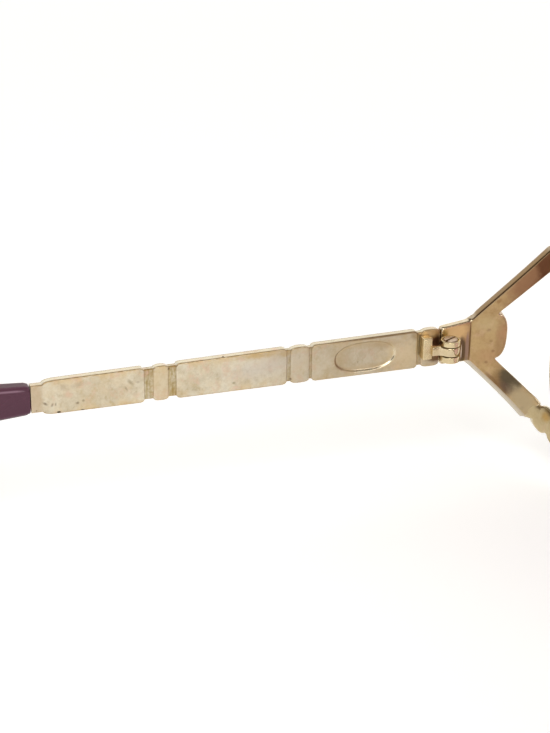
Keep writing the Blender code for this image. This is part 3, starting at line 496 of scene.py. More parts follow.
def fork_outline():
    """Side part, lobed plate, upper arm to the rim's top, and the lower arm up to its beads."""
    fold_half = fold_height / 2
    joint_half = joint_height / 2
    notch = FOLD_MIDDLE + notch_reach
    first = slope_step(lower_arm_slope)
    last = slope_step(lower_arm_end_slope)
    middle = (FOLD_MIDDLE + lower_arm_end[0], lower_arm_end[1])
    half = lower_arm_end_width / 2
    outer_end = (middle[0] + last[1] * half, middle[1] - last[0] * half)
    inner_end = (middle[0] - last[1] * half, middle[1] + last[0] * half)
    fold_point = (FOLD_MIDDLE, -fold_half)
    notch_point = (notch, lobe_lift - notch_height)
    points = [(0.0, -joint_half), (FOLD_START, -fold_half + fold_relief), fold_point]
    points += bezier(
        fold_point, moved(fold_point, first, lower_arm_handle), moved(outer_end, last, -lower_arm_end_handle),
        outer_end, 12)
    points.append(inner_end)
    points += bezier(
        inner_end, moved(inner_end, last, -lower_arm_inner_handle),
        moved(notch_point, first, lower_arm_inner_handle), notch_point, 12)
    for index in range(1, lobe_steps):
        share = -1 + 2 * index / lobe_steps
        bulge = (1 - abs(share) ** 3) ** lobe_fullness
        points.append((notch + lobe_reach * bulge, lobe_lift + notch_height * share))
    notch_top = lobe_lift + notch_height
    points.append((notch, notch_top))
    outer_rise = math.tan(math.radians(upper_arm_slope))
    inner_rise = math.tan(math.radians(upper_arm_inner_slope))
    outer_corner = (FOLD_MIDDLE + upper_arm_reach, fold_half + upper_arm_reach * outer_rise)
    inner_reach = upper_arm_inner_reach - notch_reach
    inner_corner = (notch + inner_reach, notch_top + inner_reach * inner_rise)
    points.append(inner_corner)
    hug = edge_stretch(brow_arm_start, brow_arm_end, 40, rim_wall - solder_reach)
    meets = on_front(hug[0][0], hug[0][1])
    lean = meets[0] - inner_corner[0]
    handle = (inner_corner[0] + lean * 0.4, inner_corner[1] + abs(lean) * 0.22)
    points += bezier(inner_corner, handle, (meets[0] - 1.5, meets[1] - 1.2), meets, 10)
    points += [on_front(a, b) for a, b, _, _ in hug[1:]]
    tip_a, tip_b, out_a, out_b = hug[-1]
    tip_rise = trim_end_height + seat + solder_reach
    tip = on_front(tip_a + out_a * tip_rise, tip_b + out_b * tip_rise)
    points.append(tip)
    reach = tip[0] - outer_corner[0]
    points += bezier(
        tip, (tip[0] - reach * 0.45, tip[1] + 0.9),
        (outer_corner[0] + reach * 0.3, outer_corner[1] + reach * 0.15), outer_corner, 24)
    points.append((FOLD_MIDDLE, fold_half))
    points.append((FOLD_START, fold_half - fold_relief))
    points.append((0.0, joint_half))
    return points


def bead_share(distance):
    """Size of the beads at a distance along their chain, as a share of the first one's."""
    return 1 - bead_shrink * distance / bead_pitch


def chain_route():
    """Middle line of the bead chain: from the lower arm to the rim, then round it."""
    def rim_side(angle):
        a, b, out_a, out_b = edge_stretch(angle + 0.2, angle - 0.2, 3)[1]
        travelled = (chain_meets_rim - angle) * lens_width / 2 * math.radians(1) + bead_pitch * beads_to_rim
        offset = rim_wall - bead_sink + bead_width / 2 * bead_share(travelled)
        return on_front(a + out_a * offset, b + out_b * offset)

    start = (FOLD_MIDDLE + lower_arm_end[0], lower_arm_end[1])
    meets, ahead = rim_side(chain_meets_rim), rim_side(chain_meets_rim - 1)
    size = math.dist(meets, ahead)
    along = ((ahead[0] - meets[0]) / size, (ahead[1] - meets[1]) / size)
    route = [start]
    route += bezier(start, moved(start, slope_step(chain_slope), 4.0), moved(meets, along, -3.5), meets, 40)
    route += [rim_side(chain_meets_rim - index * 0.6) for index in range(1, 60)]
    return route


def along_rim(first, last, count=17):
    """Points just inside the left rim's outer wall between two angles, from the middle of the nose."""
    edge = edge_stretch(first, last, count, rim_wall - solder_reach)
    return [((bridge_width + lens_width) / 2 + a, lens_centre_above_axis + b) for a, b, _, _ in edge]


def corner_point(start, corner, end, share):
    """A point of the curve that cuts a corner, at a share of the way from its start to its end."""
    return start * (1 - share) ** 2 + corner * (2 * share * (1 - share)) + end * share * share


def filleted(points, radius, least_turn=22.0):
    """A closed outline with its sharp corners rounded."""
    result = []
    for index, point in enumerate(points):
        corner = Vector(point)
        before = Vector(points[index - 1]) - corner
        after = Vector(points[(index + 1) % len(points)]) - corner
        turn = 180 - math.degrees(before.angle(after, math.pi))
        if turn < least_turn:
            result.append(point)
            continue
        cut = min(radius * math.tan(math.radians(turn / 2)), 0.45 * before.length, 0.45 * after.length)
        start = corner + before.normalized() * cut
        end = corner + after.normalized() * cut
        result += [tuple(corner_point(start, corner, end, step / 4)) for step in range(5)]
    return result


def resampled(points, longest):
    """A closed outline whose straight stretches are cut into short ones."""
    result = []
    for index, point in enumerate(points):
        other = points[(index + 1) % len(points)]
        steps = max(1, math.ceil(math.dist(point, other) / longest))
        for step in range(steps):
            share = step / steps
            result.append(tuple(here + (there - here) * share for here, there in zip(point, other)))
    return result


def inset_loop(points, distance):
    """An outline that runs anticlockwise, moved inwards."""
    result = []
    count = len(points)
    for index, point in enumerate(points):
        before, after = points[index - 1], points[(index + 1) % count]
        first = Vector((point[0] - before[0], point[1] - before[1])).normalized()
        second = Vector((after[0] - point[0], after[1] - point[1])).normalized()
        normal = Vector((-first.y - second.y, first.x + second.x))
        if normal.length < 1e-6:
            normal = Vector((-first.y, first.x))
        normal.normalize()
        lean = max(normal.dot(Vector((-first.y, first.x))), 0.5)
        result.append((point[0] + normal.x * distance / lean, point[1] + normal.y * distance / lean))
    return result


def anticlockwise(points):
    area = 0.0
    for (x, y), (next_x, next_y) in zip(points, points[1:] + points[:1]):
        area += x * next_y - next_x * y
    return points if area > 0 else points[::-1]


# Meshes

def placed(name, data):
    """A new object in the scene."""
    made = bpy.data.objects.new(name, data)
    bpy.context.collection.objects.link(made)
    return made


@contextmanager
def opened(mesh):
    """A mesh whose points and faces can be worked on inside the block."""
    work = bmesh.new()
    work.from_mesh(mesh)
    yield work
    work.to_mesh(mesh)
    work.free()


def mesh_of(name, points, faces=(), edges=(), unit=MM):
    """A mesh from points in millimetres or another unit, with its faces turned outwards."""
    mesh = bpy.data.meshes.new(name)
    mesh.from_pydata([Vector(point) * unit for point in points], edges, faces)
    with opened(mesh) as work:
        bmesh.ops.recalc_face_normals(work, faces=work.faces)
    return mesh


def oval(count, across, up, power=1.0):
    """Points round an oval with these half axes, squarer for a power below 1."""
    points = []
    for index in range(count):
        turn = 2 * math.pi * index / count
        points.append((raised(math.cos(turn), power) * across, raised(math.sin(turn), power) * up))
    return points


def tube(rings, closed=False):
    """Points and faces of a body through rings of equal size."""
    count = len(rings[0])
    points = [point for ring in rings for point in ring]
    faces = []
    steps = len(rings) if closed else len(rings) - 1
    for step in range(steps):
        here = step * count
        there = ((step + 1) % len(rings)) * count
        for index in range(count):
            after = (index + 1) % count
            faces.append((here + index, here + after, there + after, there + index))
    if not closed:
        faces.append(tuple(range(count)))
        faces.append(tuple(range(len(points) - count, len(points))))
    return points, faces


# Shares of a sheet's depth that bound its edge, and the painted shade lines along it at the back and at the
# face
EDGE_START, BACK_LINE_END, FACE_LINE_START, EDGE_END = 0.03, 0.12, 0.9, 0.98
# Strength of the painted shade lines along a sheet's edges
EDGE_SHADE_LINE = 0.3


def slab(name, outline, levels, put, cuts=(), height_cuts=(), radius=0.45, longest=0.6):
    """A cut sheet with rolled edges: levels are (depth, inset) from its back to its face, put bends it."""
    loop = resampled(filleted(anticlockwise(outline), radius), longest)
    work = bmesh.new()
    rows = [[work.verts.new((x, y, depth)) for x, y in inset_loop(loop, inset)] for depth, inset in levels]
    for lower, upper in zip(rows, rows[1:]):
        for index in range(len(loop)):
            after = (index + 1) % len(loop)
            work.faces.new((lower[index], lower[after], upper[after], upper[index]))
    work.faces.new(rows[0][::-1])
    work.faces.new(rows[-1])
    for places, normal in ((cuts, Vector((1, 0, 0))), (height_cuts, Vector((0, 1, 0)))):
        for place in places:
            everything = work.verts[:] + work.edges[:] + work.faces[:]
            bmesh.ops.bisect_plane(work, geom=everything, dist=1e-4, plane_co=normal * place, plane_no=normal)
    bmesh.ops.triangulate(work, faces=[face for face in work.faces if len(face.verts) > 4])
    bmesh.ops.recalc_face_normals(work, faces=work.faces)
    flat = [vertex.co.copy() for vertex in work.verts]
    for vertex in work.verts:
        vertex.co = put(*vertex.co) * MM
    bmesh.ops.recalc_face_normals(work, faces=work.faces)
    mesh = bpy.data.meshes.new(name)
    work.to_mesh(mesh)
    work.free()
    back, face = levels[0][0], levels[-1][0]
    shares = [(point.z - back) / (face - back) for point in flat]
    paint(mesh, "flat", flat)
    # A paler worn edge with a painted sheen, and painted shade lines at the back and the face of the rolled
    # edge
    paint(mesh, "edge", [1.0 if EDGE_START < share < EDGE_END else 0.0 for share in shares])
    paint(mesh, "line", [
        EDGE_SHADE_LINE if EDGE_START < share < BACK_LINE_END or FACE_LINE_START < share < EDGE_END else 0.0
        for share in shares])
    return mesh


def paint(mesh, name, values):
    """A number or a place for each vertex, which the materials read."""
    if hasattr(values[0], "__len__"):
        numbers = [number for value in values for number in value]
        mesh.attributes.new(name, "FLOAT_VECTOR", "POINT").data.foreach_set("vector", numbers)
    else:
        mesh.attributes.new(name, "FLOAT", "POINT").data.foreach_set("value", values)


def shaped(mesh, kind, inputs=None, **settings):
    """The plain mesh that a modifier makes of a mesh; a tree's inputs are named as the tree names them."""
    carrier = placed("carrier", mesh)
    modifier = carrier.modifiers.new("shape", kind)
    for name, value in settings.items():
        setattr(modifier, name, value)
    for item in settings["node_group"].interface.items_tree if inputs else ():
        if item.in_out == "INPUT" and item.name in inputs:
            modifier[item.identifier] = inputs[item.name]
    bpy.context.view_layer.update()
    result = bpy.data.meshes.new_from_object(carrier.evaluated_get(bpy.context.evaluated_depsgraph_get()))
    bpy.data.objects.remove(carrier)
    return result


def smoothed(mesh, sharp_angle=40.0, weighted=True):
    """Smooth shading with flat faces kept flat."""
    mesh.shade_smooth()
    mesh.set_sharp_from_angle(angle=math.radians(sharp_angle))
    return shaped(mesh, "WEIGHTED_NORMAL", keep_sharp=True) if weighted else mesh


def carved(mesh, tool_mesh):
    """A mesh with the shape of another one taken away."""
    tool = placed("tool", tool_mesh)
    result = shaped(mesh, "BOOLEAN", operation="DIFFERENCE", solver="EXACT", object=tool)
    bpy.data.objects.remove(tool)
    return result


def rolled_edges(mesh, width, segments, least_angle=30.0):
    """A mesh with its edges that turn by more than an angle rolled; the width is in the mesh's own unit."""
    limit = math.radians(least_angle)
    return shaped(mesh, "BEVEL", width=width, segments=segments, limit_method="ANGLE", angle_limit=limit)


BLOCK_FACES = ((0, 1, 3, 2), (4, 6, 7, 5), (0, 4, 5, 1), (2, 3, 7, 6), (0, 2, 6, 4), (1, 5, 7, 3))


def block_mesh(centre, axes, sizes, roll=0.22):
    """A block with rolled edges."""
    first, second, third = (axis * (size / 2) for axis, size in zip(axes, sizes))
    points = [centre + first * i + second * j + third * k for i, j, k in product((-1, 1), repeat=3)]
    return rolled_edges(mesh_of("block", points, BLOCK_FACES), roll * MM, 4)


def joined(name, meshes):
    """One mesh of several, with their values and places kept."""
    work = bmesh.new()
    for mesh in meshes:
        work.from_mesh(mesh)
    result = bpy.data.meshes.new(name)
    work.to_mesh(result)
    work.free()
    return result


def show(name, mesh, body, nodes, material):
    """A finished piece, which rides on a body and stands for nodes of the solids."""
    piece = placed(name, mesh)
    mesh.materials.clear()
    mesh.materials.append(material)
    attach(piece, body)
    if nodes:
        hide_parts(*nodes)


def rounded_solid(name, width):
    """A copy of a solid with its edges rolled."""
    mesh = frame["nodes"][name].data.copy()
    with opened(mesh) as work:
        bmesh.ops.remove_doubles(work, verts=work.verts, dist=WELD)
        bmesh.ops.dissolve_limit(
            work, angle_limit=math.radians(1.0), verts=work.verts, edges=work.edges, delimit={"NORMAL"})
    return smoothed(rolled_edges(mesh, width * MM, 2, 32.0))


# Node trees

class Value:
    """What a node puts out; a sum, product or comparison of it makes the node that works it out."""

    def __init__(self, socket):
        self.socket = socket
        self.tree = socket.id_data

    def worked(self, operation, first, second):
        return out(node(self.tree, "ShaderNodeMath", {0: first, 1: second}, operation=operation))

    def __add__(self, other):
        return self.worked("ADD", self, other)

    def __sub__(self, other):
        return self.worked("SUBTRACT", self, other)

    def __rsub__(self, other):
        return self.worked("SUBTRACT", other, self)

    def __mul__(self, other):
        return self.worked("MULTIPLY", self, other)

    def __lt__(self, other):
        return self.worked("LESS_THAN", self, other)

    def clamped(self):
        self.socket.node.use_clamp = True
        return self


def fill(made, inputs):
    """Sets a node's inputs, or links them to what other nodes put out."""
    for name, value in inputs.items():
        if isinstance(value, Value):
            value.tree.links.new(value.socket, made.inputs[name])
        else:
            made.inputs[name].default_value = value


def node(tree, kind, inputs=None, **settings):
    """A new node with its settings and its inputs."""
    made = tree.nodes.new(kind)
    for name, value in settings.items():
        setattr(made, name, value)
    fill(made, inputs or {})
    return made


def out(made, name=0):
    return Value(made.outputs[name])


def new_group(name, kind, inputs, outputs):
    """A group: its inputs with a starting number or a kind of socket, its outputs with a kind."""
    tree = bpy.data.node_groups.new(name, kind)
    for label, start in inputs.items():
        word = start if isinstance(start, str) else "Float"
        socket = tree.interface.new_socket(label, in_out="INPUT", socket_type=f"NodeSocket{word}")
        if word == "Float":
            socket.default_value = start
    for label, word in outputs.items():
        tree.interface.new_socket(label, in_out="OUTPUT", socket_type=f"NodeSocket{word}")
    entry = tree.nodes.new("NodeGroupInput")
    return tree, partial(out, entry), tree.nodes.new("NodeGroupOutput")


# Repeated pieces

def copying_group(name):
    """A group with its shape, and with its last nodes: real meshes, which get their material."""
    inputs = {"Source": "Geometry", "Shape": "Object", "Finish": "Material"}
    tree, given, end = new_group(name, "GeometryNodeTree", inputs, {"Mesh": "Geometry"})
    shape = node(tree, "GeometryNodeObjectInfo", {"Object": given("Shape")})
    real = node(tree, "GeometryNodeRealizeInstances")
    finished = node(tree, "GeometryNodeSetMaterial", {"Geometry": out(real), "Material": given("Finish")})
    fill(end, {"Mesh": out(finished)})
    return tree, given, out(shape, "Geometry"), real


def copies_group():
    """Sets copies of a shape on points, turned and sized by the points' own values."""
    tree, given, shape, real = copying_group("copies_on_points")

    def painted(name):
        made = node(tree, "GeometryNodeInputNamedAttribute", {"Name": name}, data_type="FLOAT_VECTOR")
        return out(made, "Attribute")

    copied = node(tree, "GeometryNodeInstanceOnPoints", {
        "Points": given("Source"), "Instance": shape, "Rotation": painted("turn"), "Scale": painted("size")})
    fill(real, {"Geometry": out(copied)})
    return tree


def swept_group():
    """Sweeps a section along a path, both given as meshes of edges."""
    tree, given, shape, real = copying_group("section_along_path")
    path = node(tree, "GeometryNodeMeshToCurve", {"Mesh": given("Source")})
    upright = node(tree, "GeometryNodeSetCurveNormal", {"Curve": out(path)}, mode="Z_UP")
    loop = node(tree, "GeometryNodeMeshToCurve", {"Mesh": shape})
    sweep = node(tree, "GeometryNodeCurveToMesh", {
        "Curve": out(upright), "Profile Curve": out(loop), "Fill Caps": True})
    fill(real, {"Geometry": out(sweep)})
    return tree


def repeated(group, source, shape_mesh, material):
    shape = placed("shape", shape_mesh)
    result = shaped(source, "NODES", {"Shape": shape, "Finish": material}, node_group=group)
    bpy.data.objects.remove(shape)
    return result


def copies(shape_mesh, places, material):
    """Copies of a shape at (point, turn, size) places."""
    points, turns, sizes = zip(*places)
    source = mesh_of("points", points)
    paint(source, "turn", turns)
    paint(source, "size", sizes)
    return repeated(COPIES, source, shape_mesh, material)


def swept(path, section, material):
    """A section swept along a path."""
    source = mesh_of("path", path, edges=[(index, index + 1) for index in range(len(path) - 1)])
    loop = [(index, (index + 1) % len(section)) for index in range(len(section))]
    return repeated(SWEPT, source, mesh_of("section", [(x, y, 0) for x, y in section], edges=loop), material)


COPIES = copies_group()
SWEPT = swept_group()


def bent(mesh, put):
    """A flat mesh in metres, bent by a function that takes millimetres."""
    flat = [vertex.co / MM for vertex in mesh.vertices]
    paint(mesh, "flat", flat)
    for vertex, place in zip(mesh.vertices, flat):
        vertex.co = put(*place) * MM
    with opened(mesh) as work:
        bmesh.ops.remove_doubles(work, verts=work.verts, dist=WELD)
        bmesh.ops.recalc_face_normals(work, faces=work.faces)
    return mesh


# Materials

def noise(place, scale, detail=3.0, roughness=0.55):
    inputs = {"Vector": place, "Scale": scale, "Detail": detail, "Roughness": roughness}
    return out(node(place.tree, "ShaderNodeTexNoise", inputs))


def ramp(value, low, high, first=0.0, last=1.0):
    """Goes smoothly from first to last while the value goes from low to high."""
    inputs = {"Value": value, "From Min": low, "From Max": high, "To Min": first, "To Max": last}
    return out(node(value.tree, "ShaderNodeMapRange", inputs, interpolation_type="SMOOTHSTEP"), "Result")


def vectors(operation, *inputs, result=0):
    """Vector arithmetic, where the first input comes from a node."""
    tree = inputs[0].tree
    return out(node(tree, "ShaderNodeVectorMath", dict(enumerate(inputs)), operation=operation), result)


def blended(share, first, second):
    return out(node(share.tree, "ShaderNodeMix", {0: share, 6: first, 7: second}, data_type="RGBA"), 2)


def stretched(place, scale):
    return out(node(place.tree, "ShaderNodeMapping", {"Vector": place, "Scale": scale}))


# Border colour: a warmer plating near the blades' borders, and painted shade on the oval's floor near its
# wall
WARM_PLATING_AND_SHADE = (0.66, 0.48, 0.235, 1.0)
# Painted shade: dark lines along rolled edges, on the oval's wall and in screw slots
SHADE_LINE_COLOUR = (0.36, 0.22, 0.075, 1.0)
COPPER_BLUSH = (0.68, 0.45, 0.34, 1.0)
GRIME = (0.36, 0.26, 0.09, 1.0)
WHITE = (1.0, 1.0, 1.0, 1.0)


def plating_group():
    """Old plating: tarnish clouds, clustered pits, grime and ribs in hollows, worn edges with a painted
    sheen, warm borders, painted shade lines and painted shade on the oval's floor.
    """
    tree, given, made = new_group("old_plating", "ShaderNodeTree", {
        "Vector": "Vector", "Plating": "Color", "Tarnish": "Color", "Pit": "Color", "Edge Colour": "Color",
        "Cloud Scale": 150.0, "Cloud Amount": 0.4, "Pit Scale": 900.0, "Pit Amount": 0.3, "Hollow": 0.0,
        "Edge": 0.0, "Line": 0.0, "Border": 0.0, "Blush": 0.3, "Roughness": 0.3,
    }, {"Colour": "Color", "Roughness": "Float", "Height": "Float"})
    place = given("Vector")
    cloud = ramp(noise(place, given("Cloud Scale"), 4.0, 0.62), 0.42, 0.66)
    grain = ramp(noise(place, 2100.0, 3.0, 0.7), 0.35, 0.7)
    smudge = ramp(noise(place, 560.0, 5.0, 0.75), 0.46, 0.68)
    tarnish = ((cloud * 0.5 + grain * 0.28 + smudge * 0.4) * given("Cloud Amount")).clamped()

    wander = out(node(tree, "ShaderNodeTexNoise", {"Vector": place, "Scale": 1900.0}), "Color")
    pushed = vectors("MULTIPLY_ADD", wander, (0.0005, 0.0005, 0.0005), place)
    spots = node(tree, "ShaderNodeTexVoronoi", {"Vector": pushed, "Scale": given("Pit Scale")}, feature="F1")
    parts = node(tree, "ShaderNodeSeparateColor", {0: out(spots, "Color")})
    spot = out(spots, "Distance") < ramp(out(parts, 1), 0.0, 1.0, 0.10, 0.26)
    herd = ramp(noise(place, 210.0, 2.0, 0.5), 0.45, 0.65, 0.15, 1.6)
    pit = spot * (out(parts, 0) < herd * (given("Pit Amount") * 0.14))

    ribs = ramp(noise(stretched(place, (0.3, 1.0, 0.12)), 3200.0, 2.0, 0.5), 0.35, 0.65)
    dirt = ramp(noise(place, 1300.0, 4.0, 0.7), 0.35, 0.65, 0.35, 1.0)
    grime = (given("Hollow") * (dirt * 0.6 + ribs * 0.35)).clamped()

    colour = blended(tarnish, given("Plating"), given("Tarnish"))
    colour = blended(grime, colour, GRIME)
    # Paler edges: worn plating with a painted sheen
    colour = blended(given("Edge") * ramp(smudge, 0.0, 1.0, 0.85, 0.45), colour, given("Edge Colour"))
    flush = ramp(noise(place, 430.0, 4.0, 0.6), 0.52, 0.7)
    colour = blended(flush * given("Blush"), colour, COPPER_BLUSH)
    patch = ramp(noise(place, 320.0, 5.0, 0.68), 0.40, 0.62)
    # Border: a warmer plating near the borders, and painted shade on the oval's floor
    colour = blended(given("Border") * patch * 0.6, colour, WARM_PLATING_AND_SHADE)
    # Painted shade lines, broken up by noise
    shade_line_breakup = ramp(noise(place, 1000.0, 2.0, 0.5), 0.3, 0.7, 0.55, 1.0)
    colour = blended(given("Line") * shade_line_breakup, colour, SHADE_LINE_COLOUR)
    colour = blended(pit * 0.8, colour, given("Pit"))
    rough = (given("Roughness") + tarnish * 0.16 + grime * 0.22 - given("Edge") * 0.14).clamped()
    cast = noise(place, 1500.0, 4.0, 0.65) * (given("Hollow") * 0.8 + 0.08)
    height = cast + ribs * given("Hollow") * 0.5 - pit
    fill(made, {"Colour": colour, "Roughness": rough, "Height": height})
    return tree


def stain_and_light_group():
    """An irregular spot about a place on the flat sheet: 1 in its middle, 0 outside it."""
    tree, given, made = new_group("stain_and_light", "ShaderNodeTree", {
        "Place": "Vector", "Centre": "Vector", "Reach": "Vector",
        "Turn": 0.0, "Softness": 0.3, "Raggedness": 0.3,
    }, {"Mask": "Float"})
    away = vectors("SUBTRACT", given("Place"), given("Centre"))
    inputs = {"Vector": away, "Angle": given("Turn")}
    turned = node(tree, "ShaderNodeVectorRotate", inputs, rotation_type="Z_AXIS")
    share = vectors("DIVIDE", out(turned), given("Reach"))
    wave = noise(vectors("MULTIPLY_ADD", given("Place"), (0.6, 0.6, 0.6), share), 1.1, 4.0, 0.65) - 0.5
    value = vectors("LENGTH", share, result="Value") + wave * (given("Raggedness") * 4.0)
    fill(made, {"Mask": ramp(value, 1.0 - given("Softness"), given("Softness") + 1.0, 1.0, 0.0)})
    return tree


PLATING = plating_group()
STAIN_AND_LIGHT_TREE = stain_and_light_group()


def attribute(tree, name, result="Fac"):
    return out(node(tree, "ShaderNodeAttribute", attribute_name=name), result)


def principled(name):
    """A material, its tree, its shader and the place on the object."""
    material = bpy.data.materials.new(name)
    material.use_nodes = True
    tree = material.node_tree
    return material, tree, tree.nodes["Principled BSDF"], out(node(tree, "ShaderNodeTexCoord"), "Object")


def bump(shader, height, strength, distance):
    inputs = {"Strength": strength, "Distance": distance * MM, "Height": height}
    fill(shader, {"Normal": out(node(height.tree, "ShaderNodeBump", inputs))})


def metal(name, plating, tarnish, roughness, cloud=0.35, pits=0.3, blush=0.2, edge=(0.86, 0.78, 0.62),
          relief=0.16, brushed=1.0, stains_and_light=(), edge_shade_and_reflection=()):
    """A plated metal with stained spots and painted light and shade on its faces, and painted shade and
    reflection on its edges, listed as below.
    """
    material, tree, shader, place = principled(name)
    painted = {word: attribute(tree, word.lower()) for word in ("Hollow", "Edge", "Line", "Border")}
    group = node(tree, "ShaderNodeGroup", {
        "Vector": place, "Plating": (*plating, 1.0), "Tarnish": (*tarnish, 1.0), "Pit": (*PIT_COLOUR, 1.0),
        "Edge Colour": (*edge, 1.0), "Cloud Amount": cloud, "Pit Amount": pits, "Blush": blush,
        "Roughness": roughness, **painted,
    }, node_tree=PLATING)
    colour = out(group, "Colour")
    flat = attribute(tree, "flat", "Vector")
    edges = painted["Edge"]
    faces = 1.0 - edges * 0.85
    listed = [(stain_and_light, faces, STAIN_AND_LIGHT_DEPTH) for stain_and_light in stains_and_light]
    listed += [(stain_and_light, edges, EDGE_LIGHT_DEPTH) for stain_and_light in edge_shade_and_reflection]
    for (centre, reach, turn, softness, raggedness, strength, stain_and_light_colour), where, depth in listed:
        stain_and_light = node(tree, "ShaderNodeGroup", {
            "Place": flat, "Centre": (*centre, 0.0), "Reach": (*reach, depth), "Turn": -math.radians(turn),
            "Softness": softness, "Raggedness": raggedness,
        }, node_tree=STAIN_AND_LIGHT_TREE)
        colour = blended(out(stain_and_light) * strength * where, colour, (*stain_and_light_colour, 1.0))
    fill(shader, {"Base Color": colour, "Roughness": out(group, "Roughness"), "Metallic": 1.0})
    lines = noise(stretched(place, (1.0, 0.06, 1.0)), 2600.0, 2.0, 0.5)
    bump(shader, out(group, "Height") + lines * (0.06 * brushed), relief, 0.06)
    return material


def acetate():
    """Plum cellulose acetate: faint marbling, polish marks and a painted highlight on its edges."""
    material, tree, shader, place = principled("plum_acetate")
    drawn = stretched(place, (1.0, 0.35, 1.0))
    marbling = ramp(noise(drawn, 110.0, 4.0, 0.6), 0.35, 0.7)
    colour = blended(marbling, (0.095, 0.033, 0.054, 1), (0.074, 0.026, 0.043, 1))
    # Painted highlight along the rolled edges, brightest on the top inner corner
    colour = blended(attribute(tree, "edge"), colour, (0.235, 0.125, 0.17, 1))
    marks = noise(drawn, 260.0, 3.0, 0.5)
    fill(shader, {
        "Base Color": colour, "Roughness": ramp(marks, 0.3, 0.8, 0.22, 0.34), "Specular IOR Level": 0.2})
    bump(shader, marks, 0.1, 0.03)
    return material


def tinted_glass():
    """Plum lens, darker at its top."""
    material, tree, shader, place = principled("tinted_lens")
    height = out(node(tree, "ShaderNodeSeparateXYZ", {0: place}), "Z") + noise(place, 35.0, 2.0, 0.5) * 0.003
    fill(shader, {
        "Base Color": blended(ramp(height, 0.008, 0.044), (0.86, 0.66, 0.74, 1), (0.42, 0.20, 0.30, 1)),
        "Roughness": ramp(noise(place, 180.0, 3.0, 0.5), 0.45, 0.8, 0.0, 0.035),
        "Transmission Weight": 1.0, "IOR": 1.5})
    return material


def silicone():
    """Milky pad, slightly yellowed towards its rim."""
    material, tree, shader, place = principled("pad_silicone")
    cloud = ramp(noise(place, 160.0, 3.0, 0.6), 0.35, 0.7)
    colour = blended(cloud, (0.80, 0.77, 0.70, 1), (0.72, 0.66, 0.55, 1))
    colour = blended(attribute(tree, "edge") * 0.5, colour, (0.62, 0.54, 0.40, 1))
    fill(shader, {
        "Base Color": colour, "Roughness": ramp(noise(place, 900.0), 0.3, 0.7, 0.30, 0.5),
        "Transmission Weight": 0.35, "IOR": 1.42})
    return material


PIT_COLOUR = (0.13, 0.08, 0.04)
STAIN_AND_LIGHT_DEPTH = 1.55
EDGE_LIGHT_DEPTH = 8.0

SMUDGE = (0.36, 0.27, 0.18)
AMBER = (0.52, 0.34, 0.12)
HAZE = (0.60, 0.56, 0.53)
# Painted shade in the dark recesses round the hinge block
RECESS_SHADE = (0.20, 0.09, 0.045)

